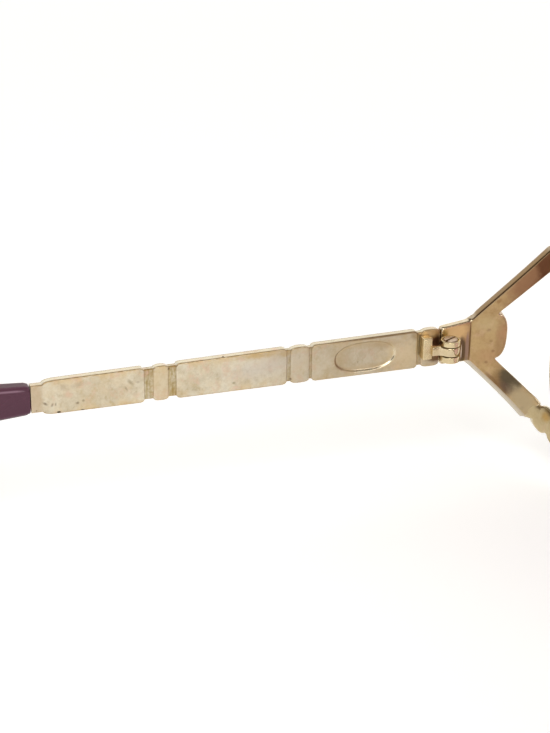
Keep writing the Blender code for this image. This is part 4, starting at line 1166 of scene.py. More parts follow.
# Each spot is (centre, reach, turn, softness, raggedness, strength, colour) on the flat sheet; some are
# stained spots, others painted light and shade.
# Stains and painted shade of the strip, over (distance from the hinge, height)
strip_stains_and_shade = [
    ((66.0, 0.2), (9.0, 2.2), 0, 0.6, 0.45, 0.18, (0.60, 0.47, 0.30)),
    ((34.6, 0.6), (5.6, 1.7), -8, 0.8, 0.5, 0.4, HAZE),
    ((35.6, 2.9), (3.4, 0.5), 0, 0.8, 0.5, 0.55, AMBER),
    ((30.4, 2.6), (1.0, 0.6), 0, 0.6, 0.3, 0.5, AMBER),
    ((50.2, -2.2), (1.5, 1.0), 0, 0.9, 0.5, 0.3, AMBER),
    ((70.2, 1.7), (0.8, 0.5), 30, 0.8, 0.7, 0.4, SMUDGE),
    ((67.7, 1.75), (0.9, 0.4), -10, 0.8, 0.7, 0.38, SMUDGE),
    ((58.5, 0.95), (0.7, 0.26), 50, 0.8, 0.5, 0.55, (0.28, 0.22, 0.13)),
    ((59.3, -0.1), (0.5, 0.16), 60, 0.8, 0.4, 0.5, (0.25, 0.19, 0.11)),
    ((57.2, 0.85), (0.28, 0.2), 0, 0.8, 0.4, 0.5, SMUDGE),
    ((73.4, -1.0), (0.4, 0.2), 35, 0.7, 0.45, 0.7, PIT_COLOUR),
    ((72.2, -1.4), (0.16, 0.32), 20, 0.8, 0.4, 0.55, PIT_COLOUR),
    ((71.6, -1.35), (0.12, 0.26), 0, 0.8, 0.4, 0.5, PIT_COLOUR),
    ((67.8, -1.6), (0.26, 0.2), 0, 0.7, 0.4, 0.65, PIT_COLOUR),
    ((66.8, -1.3), (0.2, 0.2), 0, 0.7, 0.4, 0.5, PIT_COLOUR),
    ((74.9, -2.1), (0.15, 0.15), 0, 0.4, 0.2, 0.9, PIT_COLOUR),
    ((71.1, -2.85), (0.34, 0.16), 0, 0.3, 0.2, 1.0, (0.03, 0.02, 0.01)),
    ((67.0, -3.05), (0.32, 0.14), 0, 0.3, 0.2, 0.9, (0.05, 0.03, 0.02)),
    ((40.0, -1.75), (0.26, 0.2), 0, 0.7, 0.3, 0.55, (0.20, 0.17, 0.08)),
    ((29.5, -2.5), (0.2, 0.2), 0, 0.4, 0.2, 0.9, PIT_COLOUR),
    ((51.7, 2.5), (0.2, 0.2), 0, 0.4, 0.2, 0.9, PIT_COLOUR),
    # painted shade: darker towards the hinge
    ((13.0, 0.0), (20.0, 12.0), 0, 0.25, 0.06, 0.42, (0.42, 0.34, 0.23)),
    ((75.0, 0.3), (1.3, 4.5), 0, 0.4, 0.2, 0.6, (0.52, 0.39, 0.25)),
    ((69.3, 0.2), (0.6, 0.5), 30, 0.9, 0.6, 0.5, (0.66, 0.42, 0.30)),
    # painted shade in the recesses above and below the tongue
    ((2.1, 1.0), (1.2, 1.3), 0, 0.3, 0.1, 0.92, RECESS_SHADE),
    ((2.0, -2.0), (1.4, 0.75), 0, 0.4, 0.1, 0.93, (0.16, 0.085, 0.035)),
    ((8.2, -1.0), (3.8, 3.0), 0, 0.7, 0.4, 0.42, (0.80, 0.64, 0.38)),
    # painted shade on the top of the oval's dished floor
    ((15.2, 2.1), (4.2, 0.55), 0, 0.9, 0.3, 0.4, (0.50, 0.38, 0.22)),
    ((3.0, 2.9), (2.2, 0.9), 0, 0.5, 0.1, 0.6, (0.70, 0.46, 0.20)),
    # painted shade: dark line under the top band of the first blade
    ((11.8, 3.50), (8.6, 0.20), -0.4, 0.6, 0.06, 0.85, (0.22, 0.14, 0.07)),
    # painted shade on the oval's dished floor: left, bottom and upper right
    ((20.1, -0.2), (1.3, 2.0), 0, 0.9, 0.3, 0.42, (0.46, 0.33, 0.17)),
    ((15.3, -2.25), (4.4, 0.6), 0, 0.9, 0.3, 0.38, (0.50, 0.36, 0.19)),
    ((12.0, 1.9), (2.8, 0.9), 0, 0.9, 0.4, 0.5, (0.44, 0.31, 0.155)),
    # painted shade at the first blade's top corner next to the hinge
    ((6.0, 3.0), (0.8, 0.9), 0, 0.6, 0.2, 0.6, (0.36, 0.25, 0.13)),
    ((53.1, 0.0), (1.6, 3.6), 0, 0.4, 0.3, 0.42, (0.60, 0.45, 0.24)),
]

# Stains, painted light and painted shade of the fork, over (distance along the plan, height)
# Painted dark reflection on the fork's upper arm
DARK_ARM_REFLECTION = (0.265, 0.128, 0.07)
fork_stains_and_light = [
    # painted dark reflection along the upper arm, deepest at its end
    ((18.6, 14.0), (7.3, 9.0), 0, 0.35, 0.12, 0.85, DARK_ARM_REFLECTION),
    ((23.6, 19.0), (7.2, 12.0), 0, 0.09, 0.06, 0.95, (0.135, 0.056, 0.028)),
    # painted dark reflection: the band across the lower arm
    ((13.2, -8.2), (3.0, 1.5), -43, 0.5, 0.2, 0.8, (0.22, 0.125, 0.055)),
    ((10.9, -7.6), (2.3, 0.4), -43, 0.5, 0.1, 0.7, (0.20, 0.11, 0.05)),
    ((14.5, -7.5), (2.9, 1.6), -43, 0.35, 0.16, 0.95, (0.110, 0.086, 0.053)),
    ((13.9, -9.3), (1.8, 0.8), -43, 0.6, 0.2, 0.8, (0.13, 0.085, 0.06)),
    ((9.40, 2.24), (0.34, 0.26), 20, 0.7, 0.35, 0.6, (0.20, 0.09, 0.05)),
    ((9.92, 0.07), (0.3, 0.22), 0, 0.7, 0.35, 0.4, (0.22, 0.11, 0.06)),
    ((10.46, -1.89), (0.3, 0.24), 0, 0.7, 0.3, 0.6, (0.18, 0.09, 0.05)),
    ((9.36, -4.12), (0.32, 0.26), 0, 0.7, 0.3, 0.6, (0.18, 0.09, 0.05)),
    ((11.8, 0.7), (0.34, 0.28), 0, 0.8, 0.35, 0.4, (0.24, 0.12, 0.06)),
    ((17.92, -13.0), (0.4, 0.32), 0, 0.6, 0.3, 0.8, (0.14, 0.07, 0.03)),
    ((11.7, 0.0), (0.9, 4.4), 0, 0.6, 0.1, 0.5, (0.30, 0.17, 0.085)),
    ((10.8, 7.9), (0.5, 0.3), 40, 0.5, 0.2, 0.5, (0.28, 0.14, 0.06)),
    ((12.6, 1.6), (1.4, 1.6), 20, 0.9, 0.7, 0.5, (0.48, 0.26, 0.15)),
    ((9.6, -2.9), (1.5, 1.2), 0, 0.9, 0.7, 0.4, (0.48, 0.27, 0.15)),
    ((9.0, 3.4), (1.8, 1.5), 0, 0.9, 0.6, 0.5, (0.53, 0.41, 0.22)),
    ((17.8, -11.8), (3.6, 2.0), -43, 0.5, 0.2, 0.85, (0.45, 0.36, 0.22)),
    # painted reflection: bright gold on the side part above the knuckle
    ((2.6, 2.4), (3.0, 1.9), 0, 0.4, 0.1, 0.9, (0.82, 0.65, 0.29)),
    # painted shade in the gap beside the knuckles, a painted highlight on its edge, and painted shade at the
    # fold
    ((4.35, -1.7), (0.95, 2.7), 0, 0.25, 0.05, 0.92, (0.135, 0.10, 0.056)),
    ((5.55, -1.4), (0.36, 3.1), 0, 0.3, 0.05, 0.85, (0.38, 0.29, 0.22)),
    ((4.35, -1.8), (0.09, 1.3), 0, 0.3, 0.0, 0.95, (0.95, 0.85, 0.66)),
    ((6.05, -0.2), (0.17, 4.2), 0, 0.5, 0.1, 0.85, (0.17, 0.11, 0.045)),
]
# Painted shade on the upper arm's top edge band, and a painted pale reflection on the lower arm's edge
fork_edge_shade_and_reflection = [
    ((12.95, 11.1), (9.3, 1.8), 46.4, 0.15, 0.04, 0.9, (0.30, 0.19, 0.09)),
    ((12.7, -9.5), (9.0, 2.0), -40, 0.15, 0.04, 0.65, (0.46, 0.41, 0.33)),
]
bead_stains = [
    ((23.35, -13.4), (0.9, 0.8), 0, 0.7, 0.3, 0.75, (0.46, 0.27, 0.07)),
    ((27.5, -17.0), (0.8, 0.7), 0, 0.7, 0.3, 0.5, (0.44, 0.28, 0.09)),
]

strip_gold = metal(
    "strip_gold", (0.725, 0.665, 0.53), (0.42, 0.335, 0.19), 0.32, cloud=0.75, pits=1.3, blush=0.55,
    edge=(0.74, 0.68, 0.53), stains_and_light=strip_stains_and_shade)
# Darker base than the strip's: painted shade for the darker reflections of the front's plate; its paler edge
# colour is worn edges with a painted sheen
fork_gold = metal(
    "fork_gold", (0.515, 0.36, 0.176), (0.36, 0.22, 0.10), 0.30, cloud=0.7, pits=0.6, blush=0.3,
    edge=(0.74, 0.66, 0.52), stains_and_light=fork_stains_and_light, edge_shade_and_reflection=fork_edge_shade_and_reflection)
bead_gold = metal(
    "bead_gold", (0.53, 0.43, 0.25), (0.36, 0.24, 0.10), 0.30, cloud=0.6, pits=0.4,
    edge=(0.76, 0.70, 0.56), stains_and_light=bead_stains)
hinge_gold = metal(
    "hinge_gold", (0.72, 0.60, 0.37), (0.44, 0.29, 0.14), 0.22, cloud=0.35, pits=0.1,
    edge=(0.74, 0.63, 0.43), relief=0.035, brushed=0.3)
front_gold = metal(
    "front_gold", (0.66, 0.54, 0.35), (0.44, 0.33, 0.18), 0.22, cloud=0.35, pits=0.25, brushed=0.3)
screw_metal = metal(
    "screw_metal", (0.66, 0.54, 0.42), (0.44, 0.25, 0.17), 0.34, cloud=0.6, pits=0.1,
    edge=(0.62, 0.38, 0.28), relief=0.1, brushed=0.0)
plum_acetate = acetate()
lens_glass = tinted_glass()
pad_silicone = silicone()


# Temples

def strip_stretches():
    """(kind, start, length) along the strip from the hinge."""
    pieces = []
    for index, (bead, blade) in enumerate(zip((end_bead_length, *bead_lengths), blade_lengths)):
        pieces += [("bead", bead), ("groove", groove_lengths[2 * index]), ("blade", blade)]
        pieces += [("groove", length) for length in groove_lengths[2 * index + 1:2 * index + 2]]
    stretches = []
    start = STRIP_START
    for kind, length in pieces:
        stretches.append((kind, start, length))
        start += length
    return stretches + [("neck", start, TIP_START - seat - start), ("core", TIP_START - seat, core_length)]


def strip_shape(kind, start, length, here):
    """Half height inside and outside, inner face, edge, outer face, and how deep in a groove it is."""
    full = (height_at_hinge + (height_at_tip - height_at_hinge) * here / STRIP_END) / 2
    if kind == "bead":
        share = abs(2 * (here - start) / length - 1)
        flat = max(1 - share ** 5, 0.0) ** 0.6
        round_off = max(1 - share ** 2.3, 0.0) ** 0.62
        corner = max(1 - share ** 3.2, 0.0) ** 0.5
        half = full - bead_drop - bead_corner_cut * (1 - corner)
        outside = full - outer_bead_drop - outer_bead_corner_cut * (1 - round_off)
        inner = bead_end_depth * (1 - flat)
        outer = strip_thickness - bead_dip + (bead_dip + bead_dome) * round_off
        return half, outside, inner, strip_edge_thickness, outer, bead_end_hollow * (1 - flat)
    if kind == "groove":
        edge = full - groove_notch
        return edge, edge, groove_depth, strip_edge_thickness - 0.1, strip_thickness - groove_depth, 1.0
    if kind == "blade":
        last = here > STRIP_END - last_corner
        corner, deepest = (last_corner, last_corner_cut) if last else (blade_corner, blade_corner_cut)
        to_end = min(here - start, start + length - here)
        cut = 0.0
        if to_end < corner:
            cut = deepest * (1 - math.sqrt(1 - (1 - to_end / corner) ** 2))
        lip = 0.0 if last else blade_lip * max(1 - to_end / blade_lip_reach, 0.0)
        return full - cut, full - cut, lip, strip_edge_thickness, strip_thickness - 2 * lip, 0.0
    if kind == "neck":
        half = neck_height / 2
        return half, half, 0.05, strip_edge_thickness, strip_thickness - 0.1, 0.1
    inner = (strip_thickness - core_thickness) / 2
    half = core_height / 2
    return half, half, inner, inner + core_thickness - 0.25, inner + core_thickness, 0.0


def strip_stations():
    """Stations along the strip, close together at the ends of each stretch and over the oval."""
    stations = []
    for kind, start, length in strip_stretches():
        inset = 0.05
        if kind == "core":
            places = [0.12 + (length - 0.12) * i / 12 for i in range(13)]
        elif kind in ("bead", "groove", "neck"):
            steps = 24 if kind == "bead" else 7
            shares = [(1 - math.cos(math.pi * i / steps)) / 2 for i in range(steps + 1)]
            places = [inset + (length - 2 * inset) * share for share in shares]
        else:
            ends = [0.0, 0.05, 0.12, 0.2, 0.32, 0.46, 0.62, 0.8, 1.1, 1.5]
            places = [inset + end for end in ends]
            first, last = 1.7, length - 1.7
            near_oval = abs(start + length / 2 - OVAL_CENTRE) < 1.0
            count = int((last - first) / (0.1 if near_oval else 0.4))
            places += [first + (last - first) * i / count for i in range(count + 1)]
            places += [length - inset - end for end in reversed(ends)]
        for place in places:
            here = start + place
            stations.append((here, *strip_shape(kind, start, length, here), kind))
    return stations


def oval_edge(distance, height):
    """Distance from the outline of the oval, less than 0 inside it."""
    along = abs(distance - OVAL_CENTRE) / (oval_length / 2)
    up = abs(height) / (oval_height / 2)
    reach = (along ** oval_squareness + up ** oval_squareness) ** (1 / oval_squareness)
    if reach < 1e-6:
        return -oval_height / 2
    return math.hypot(distance - OVAL_CENTRE, height) * (1 - 1 / reach)


def oval_share(distance, height):
    """1 on the floor of the oval, 0 outside it, and a rolled wall between."""
    return 1 - eased(oval_edge(distance, height), -oval_wall, 0.0)


FACE_STEPS = 56


def strip_ring(station, side):
    """Section of the strip with rolled edges, with its hollow and edge values."""
    here, half, outside, inner, edge, outer, hollow, kind = station
    radius = min(edge_radius, half * 0.3)
    border = 1.0 if kind in ("blade", "bead") else 0.0
    ring, marks = [], {"flat": [], "hollow": [], "edge": [], "line": [], "border": []}

    def add(across, height, hollow_value, edge_value, line_value=0.0, border_value=0.0):
        ring.append(temple_place(here, across, height, side))
        values = ((here, height, across), hollow_value, edge_value, line_value, border_value)
        for name, value in zip(marks, values):
            marks[name].append(value)

    for index in range(FACE_STEPS + 1):
        height = (half - radius) * (1 - 2 * index / FACE_STEPS)
        share = oval_share(here, height) if kind == "blade" else 0.0
        wall = 4 * share * (1 - share)
        # Painted shade on the oval's wall, mostly on its far and upper side; the wall's paler edge colour is
        # worn plating with a painted sheen
        far_shade = between(0.25 + 1.7 * (here - OVAL_CENTRE) / oval_length, 0.0, 0.9)
        shade = wall * max(far_shade, 0.8 * between(height, 0.3, 1.5))
        # painted shade on the oval's floor near its wall
        oval_floor_shade = share * eased(oval_edge(here, height), -oval_floor_shade_reach, -0.3)
        # painted shade lines along the face's top and bottom border
        rim = 0.5 if index in (0, FACE_STEPS) else 0.0
        to_edge = 0.35 + 0.65 * eased(abs(height), half - 1.5, half - radius)
        add(inner + oval_depth * share, height, max(hollow, 0.16 * share - 0.16 * wall), wall - shade,
            max(rim, shade), border * ((1 - share) * to_edge + 0.9 * oval_floor_shade))
    rolled = []
    # Painted shade lines along the rolled corners and the crown's far corner; the crown's paler edge colour
    # is worn plating with a painted sheen
    for turn in (30, 60, 90):
        angle = math.radians(turn)
        line = 1.0 if turn == 60 else 0.8
        across = inner + radius * (1 - math.cos(angle))
        rolled.append((across, half - radius * (1 - math.sin(angle)), 0.0, line))
    crown = min(outside * 0.4, 1.2)
    for step in range(1, 5):
        share = step / 4
        lift = (outside - half) * share ** 0.7
        rolled.append((
            inner + radius + (edge - inner - radius) * share, half + lift, 1.0, 1.0 if step == 4 else 0.0))
    for step in range(1, 6):
        angle = math.radians(90 * step / 5)
        rolled.append((
            edge + (outer - edge) * math.sin(angle), outside - crown * (1 - math.cos(angle)), 0.5,
            {1: 1.0, 2: 0.6}.get(step, 0.0)))
    for across, height, value, line in rolled:
        add(across, -height, hollow, value, line)
    for step in range(1, 6):
        height = (outside - crown) * (2 * step / 6 - 1)
        share = oval_share(here, height * oval_height / (height_at_hinge * raised_oval_share))
        add(outer + (oval_rise * share if kind == "blade" else 0.0), height, hollow, 0.0)
    for across, height, value, line in reversed(rolled):
        add(across, height, hollow, value, line)
    return ring, marks


def strip_mesh(side):
    """The whole strip: blades, beads, grooves, the neck and the core in the sleeve."""
    rings, marks = [], {}
    for station in strip_stations():
        ring, ring_marks = strip_ring(station, side)
        rings.append(ring)
        for name, values in ring_marks.items():
            marks.setdefault(name, []).extend(values)
    mesh = mesh_of("strip", *tube(rings))
    for name, values in marks.items():
        paint(mesh, name, values)
    return smoothed(mesh, 50.0)


def tip_mesh(side):
    """Sleeve with flat faces, broad bevels and softly rolled edges, and the mouth round the strip."""
    middle = strip_thickness / 2
    rings, edges = [], []

    def ring(distance, half_height, half_thickness, chamfer, roll):
        corners = (
            (half_thickness - chamfer, half_height), (half_thickness, half_height - chamfer),
            (half_thickness, -half_height + chamfer), (half_thickness - chamfer, -half_height),
            (-half_thickness + chamfer, -half_height), (-half_thickness, -half_height + chamfer),
            (-half_thickness, half_height - chamfer), (-half_thickness + chamfer, half_height),
        )
        points, values = [], []
        # Painted highlight along the sleeve's rolled corners, brightest on the top inner one away from the
        # mouth
        gleam = eased(distance, TIP_START + 0.8, TIP_START + 2.2)
        for index, corner in enumerate(corners):
            here = Vector(corner)
            before = (Vector(corners[index - 1]) - here).normalized()
            after = (Vector(corners[(index + 1) % 8]) - here).normalized()
            for step in range(5):
                points.append(corner_point(here + before * roll, here, here + after * roll, step / 4))
                values.append((gleam if index == 6 else 0.3) if 0 < step < 4 else 0.1)
        rings.append([temple_place(distance, middle + across, height, side) for across, height in points])
        edges.extend(values)

    for depth, room in ((4.0, 0.3), (0.4, 0.3), (0.0, 0.4)):
        ring(TIP_START + depth, core_height / 2 + room, core_thickness / 2 + room, 0.25, 0.05)
    steps = 90
    for step in range(steps + 1):
        share = step / steps
        half_height, half_thickness = tip_size(share)
        from_mouth = share * (tip_length - tip_play)
        to_end = tip_length - tip_play - from_mouth
        rounding = 1.0
        if from_mouth < mouth_rounding:
            rounding = 0.93 + 0.07 * math.sqrt(from_mouth / mouth_rounding)
        if to_end < end_rounding:
            rounding = 0.46 + 0.54 * math.sqrt(1 - (1 - to_end / end_rounding) ** 2)
        chamfer = min(tip_chamfer, half_thickness * 0.5)
        half_height = (half_height - tip_relief) * rounding
        ring(TIP_START + from_mouth, half_height, half_thickness * rounding, chamfer, 0.26)
    mesh = mesh_of("tip", *tube(rings))
    paint(mesh, "edge", edges)
    return smoothed(mesh, 60.0)


# Hinges

def knuckle_levels():
    """Bottom and top of the bottom, middle and top knuckle, from the hinge's middle."""
    half = middle_knuckle / 2
    return (
        (-half - knuckle_gap - bottom_knuckle, -half - knuckle_gap),
        (-half, half),
        (half + knuckle_gap, half + knuckle_gap + top_knuckle),
    )


def turned_loop(profile, centre, sides=80):
    """A body turned about an upright axis, whose profile is a loop of (radius, height)."""
    rings = []
    for x, y in oval(sides, 1.0, 1.0):
        rings.append([centre + Vector((x * radius, y * radius, height)) for radius, height in profile])
    return mesh_of("turned", *tube(rings, closed=True))


def round_mesh(profile, sides, centre=(0, 0, 0), unit=MM):
    """An upright round body with flat ends, through (radius, height) from its foot upwards."""
    rings = []
    for radius, height in profile:
        rings.append([Vector(centre) + Vector((x, y, height)) for x, y in oval(sides, radius, radius)])
    return mesh_of("round", *tube(rings), unit=unit)


def knuckle_mesh(word, level, head_room=False):
    low, high = level
    profile = [(hinge_bore, low), (knuckle_radius, low), (knuckle_radius, high)]
    if head_room:
        floor = high - head_recess
        profile += [(head_room_radius, high), (head_room_radius, floor), (hinge_bore, floor)]
    else:
        profile.append((hinge_bore, high))
    return turned_loop(filleted(profile, 0.13), HINGE[word])


def rod_mesh(centre, radius, low, high):
    return round_mesh(((radius, low), (radius, high)), 64, centre)


def front_hinge_mesh(side, word):
    """Leaf soldered to the side part, with the top and the bottom knuckle."""
    bottom, middle, top = knuckle_levels()
    low, high = hinge_rise + bottom[0], hinge_rise + top[1]
    outline = ((leaf_start, low), (leaf_end, low), (leaf_end, high), (leaf_start, high))
    start = -seat - hinge_leaf
    levels = [(start, 0.22), (start + 0.05, 0.1), (start + 0.16, 0.02), (start + 0.3, 0.0), (0.05, 0.0)]
    leaf = slab("leaf", outline, levels, partial(front_place, side=side), radius=0.2)
    room = rod_mesh(
        HINGE[word], knuckle_radius + swing_clearance, middle[0] - knuckle_gap, middle[1] + knuckle_gap)
    pin = rod_mesh(HINGE[word], hinge_bore, bottom[0] - 1, top[1] + 1)
    leaf = carved(carved(leaf, room), pin)
    return joined("hinge", [
        smoothed(leaf, 40.0), smoothed(knuckle_mesh(word, bottom), 35.0),
        smoothed(knuckle_mesh(word, top, head_room=True), 35.0)])


def temple_hinge_mesh(side, word):
    """Block soldered to the first bead, and the tongue that is curled into the middle knuckle."""
    _, middle, _ = knuckle_levels()
    centre = HINGE[word]
    tongue_near = (knuckle_radius - tongue_depth) / 2 - tongue_depth / 2
    tongue_far = tongue_near + tongue_depth
    start = math.pi / 2 - math.asin(tongue_far / knuckle_radius)
    end = math.pi / 2 + math.asin(-tongue_near / knuckle_radius) + math.radians(tongue_ease_angle)
    end -= 2 * math.pi
    outline = []
    steps = 48
    for index in range(steps + 1):
        turn = start + (end - start) * index / steps
        outline.append((math.cos(turn) * knuckle_radius, math.sin(turn) * knuckle_radius))
    reach = block_distance + tongue_lap
    last_x, last_y = outline[-1]
    outline += bezier((last_x, last_y), (last_x + 0.25, last_y + 0.35), (tongue_near, last_y + 0.5),
                      (tongue_near, last_y + 1.0), 8)
    outline += [(tongue_near, reach), (tongue_far, reach)]
    half = middle_knuckle / 2

    def put(x, y, z):
        return centre + Vector((side * x, y, z))

    levels = [(-half, 0.13), (-half + 0.05, 0.04), (-half + 0.13, 0.0)]
    levels += [(-level, inset) for level, inset in reversed(levels)]
    tongue = slab("tongue", outline, levels, put, radius=0.05, longest=0.25)
    pin = rod_mesh(centre, hinge_bore, -half - 1, half + 1)
    tongue = smoothed(carved(tongue, pin), 40.0)
    middle_point = Vector((
        side * (STRIP_X - seat - block_depth / 2 + block_sink / 2),
        centre.y + block_distance + block_length / 2, centre.z + block_rise))
    sizes = (block_depth + block_sink, block_length, block_height)
    block = block_mesh(middle_point, Matrix.Identity(3), sizes, 0.2)
    return joined("hinge", [tongue, smoothed(block, 40.0)])


for side, word in SIDES:
    body = f"temple_{word}"
    show(f"temple_strip_{word}", strip_mesh(side), body, [f"temple_blade_{word}"], strip_gold)
    show(f"temple_sleeve_{word}", tip_mesh(side), body, [f"temple_tip_{word}"], plum_acetate)
    show(f"temple_knuckle_{word}", temple_hinge_mesh(side, word), body,
         [f"temple_hinge_{word}"], hinge_gold)
    show(f"front_knuckles_{word}", front_hinge_mesh(side, word), "front",
         [f"front_hinge_{word}"], hinge_gold)


# Endpieces

def bead_mesh():
    """A cushion of unit length and width, 1 high on its face and on its back."""
    around, steps, dome, squareness = 48, 10, 3.6, 2 / 2.5
    radii = [math.sin(math.pi / 2 * (step / steps)) for step in range(1, steps + 1)]
    levels = [(radius, 1) for radius in radii] + [(radius, -1) for radius in radii[-2::-1]]
    rings, edges = [], []
    for radius, turn in levels:
        height = turn * (1 - radius ** dome) ** (1 / dome)
        rings.append([(x, y, height) for x, y in oval(around, radius * 0.5, radius * 0.5, squareness)])
        edges += [eased(radius, 0.86, 1.0)] * around
    mesh = mesh_of("bead", *tube(rings), unit=1)
    paint(mesh, "edge", edges)
    mesh.shade_smooth()
    return mesh


def bead_places():
    """Points, turns and sizes of the beads on the flat sheet."""
    route = chain_route()
    lengths = lengths_to(route)
    places = []
    start = 0.0
    for _ in range(bead_count):
        length = bead_pitch * bead_share(start)
        wanted = start + length / 2 + (0.0 if places else first_bead_shift)
        step = max(index for index, value in enumerate(lengths[:-1]) if value <= wanted)
        first, second = Vector(route[step]), Vector(route[step + 1])
        place = first + (second - first).normalized() * (wanted - lengths[step])
        heading = math.atan2(second.y - first.y, second.x - first.x)
        width = bead_width * bead_share(wanted) if places else first_bead_width
        reach = length * bead_overlap - (0.0 if places else 2 * first_bead_shift)
        if len(places) == bead_count - 1:
            width -= last_bead_loss
        thickness = bead_thickness - bead_thinning * start
        places.append((
            (place.x, place.y, sheet_thickness / 2),
            (0.0, 0.0, heading),
            (reach * MM, width * MM, thickness * MM),
        ))
        start += length
    return places


def fork_cuts(last):
    cuts = [FOLD_START + (FOLD_END - FOLD_START) * i / 6 for i in range(-1, 8)]
    cuts += [CORNER_START + (CORNER_END - CORNER_START) * i / 12 for i in range(-1, 14)]
    cuts += [FOLD_END + 0.5 * i for i in range(1, 24)]
    cuts += [CORNER_END + 0.9 * i for i in range(1, 30)]
    return [cut for cut in cuts if 0 < cut < last]


def fork_mesh(side):
    outline = fork_outline()
    last = max(point[0] for point in outline)
    levels = [
        (0.0, 0.30), (0.05, 0.17), (0.14, 0.07), (0.28, 0.0),
        (1.16, 0.0), (1.36, 0.07), (1.46, 0.18), (1.5, 0.32),
    ]
    heights = [-15.0 + 1.2 * i for i in range(34)]
    put = partial(fork_place, side=side)
    return smoothed(slab("fork", outline, levels, put, fork_cuts(last), heights, radius=0.75), 45.0)


def bead_core(side):
    """Flat wire through the beads, which shows as the waists between them."""
    centres = [place[0][0] for place in bead_places()]
    route = chain_route()
    route.insert(0, moved(route[0], slope_step(lower_arm_end_slope), -neck_root))
    stretches = (
        (route[0][0], centres[1], bead_waists[0], sheet_thickness / 2 + 0.012),
        (centres[1], centres[-1], bead_waists[1], 0.7))
    cores = []
    for first, last, waist, thickness in stretches:
        path = [(*point, sheet_thickness / 2) for point in route if first - 0.1 <= point[0] <= last + 0.1]
        cores.append(swept(path, oval(28, bead_width * waist / 2, thickness, 0.6), bead_gold))
    return smoothed(bent(joined("core", cores), partial(fork_place, side=side)), 40.0)


for side, word in SIDES:
    beads = bent(copies(bead_mesh(), bead_places(), bead_gold), partial(fork_place, side=side))
    beads.shade_smooth()
    show(f"fork_plate_{word}", fork_mesh(side), "front", [f"endpiece_{word}"], fork_gold)
    show(f"fork_beads_{word}", joined("beads", [beads, bead_core(side)]), "front", [], bead_gold)


# Rims, lenses, bridge and brow bar

def rim_section():
    """Half-round face, flat back and a groove for the lens, as (outwards, forwards)."""
    back, face = 0.0, rim_depth
    groove_front = rim_depth / 2 + lens_edge_thickness / 2 + rim_fit
    groove_back = rim_depth / 2 - lens_edge_thickness / 2 - rim_fit
    points = [(rim_wall - 0.15, back), (rim_wall - 0.04, back + 0.04), (rim_wall, back + 0.15)]
    middle = (rim_wall - rim_lip) / 2
    half = (rim_wall + rim_lip) / 2
    for step in range(9):
        angle = math.radians(180 * step / 8)
        points.append((middle + half * math.cos(angle), face - 0.75 + 0.75 * math.sin(angle)))
    points += [(-rim_lip, groove_front), (rim_groove_floor, groove_front)]
    points += [(rim_groove_floor, groove_back), (-rim_lip, groove_back)]
    points += [(-rim_lip, back + 0.15), (-rim_lip + 0.04, back + 0.04), (-rim_lip + 0.15, back)]
    return points


def rim_mesh(side):
    opening = math.degrees(rim_split / (lens_width + lens_height)) * rim_split_widening
    edge = edge_stretch(closing_angle + opening, closing_angle + 360 - opening, 221)
    path = [(*on_front(a, b), 0.0) for a, b, _, _ in edge]
    flat = swept(path, [(-outwards, forwards) for outwards, forwards in rim_section()], front_gold)
    return smoothed(bent(flat, partial(front_place, side=side)), 40.0)


def lens_mesh(side):
    """Curved lens with a thin edge that lies in the rim's groove."""
    middle = rim_depth / 2
    shoulder = edge_stretch(0, 360, 181, offset=-lens_edge_reach)[:-1]
    edge = edge_stretch(0, 360, 181, offset=rim_groove_floor - rim_fit)[:-1]
    rings = []

    def ring(points, share, depth):
        rings.append([front_place(*on_front(a * share, b * share), depth, side) for a, b, _, _ in points])

    front, back = middle + lens_thickness / 2, middle - lens_thickness / 2
    edge_front, edge_back = middle + lens_edge_thickness / 2, middle - lens_edge_thickness / 2
    shares = [0.04] + [0.1 * step for step in range(1, 11)]
    for share in shares:
        ring(shoulder, share, front)
    ring(shoulder, 1.0, edge_front)
    ring(edge, 1.0, edge_front)
    ring(edge, 1.0, edge_back)
    ring(shoulder, 1.0, edge_back)
    for share in reversed(shares):
        ring(shoulder, share, back)
    return smoothed(mesh_of("lens", *tube(rings)), 30.0, False)


def bar_levels(start):
    levels = [(0.0, 0.14), (0.04, 0.04), (0.14, 0.0), (1.05, 0.0), (1.3, 0.1), (1.45, 0.26), (1.5, 0.42)]
    return [(start + depth, inset) for depth, inset in levels]


def height_angle(height):
    b = height - lens_centre_above_axis
    return math.degrees(math.asin((abs(b) / (lens_height / 2)) ** (corner_squareness / 2)))


def mirrored(points):
    return [(-x, z) for x, z in points[::-1]]


def bridge_mesh():
    """Arched bar between the rims, its edges softly scalloped."""
    low = bridge_height - bridge_bar_width / 2
    high = bridge_height + bridge_bar_width / 2
    ends = along_rim(180 - height_angle(low), 180 - height_angle(high))
    under, over = [], []
    steps = 48
    for index in range(1, steps):
        share = index / steps
        across = ends[0][0] * (1 - 2 * share)
        rise = bridge_rise * (1 - (1 - 2 * share) ** 2)
        scallop = bridge_scallop * abs(math.sin(math.pi * share * bridge_scallops))
        under.append((across, low + rise - scallop))
        over.append((across, high + rise + scallop))
    outline = ends + over + mirrored(ends) + under[::-1]
    cuts = [-bridge_width / 2 + bridge_width * i / 24 for i in range(25)]
    return smoothed(slab("bridge", outline, bar_levels(0.3), centre_place, cuts, radius=0.3), 45.0)


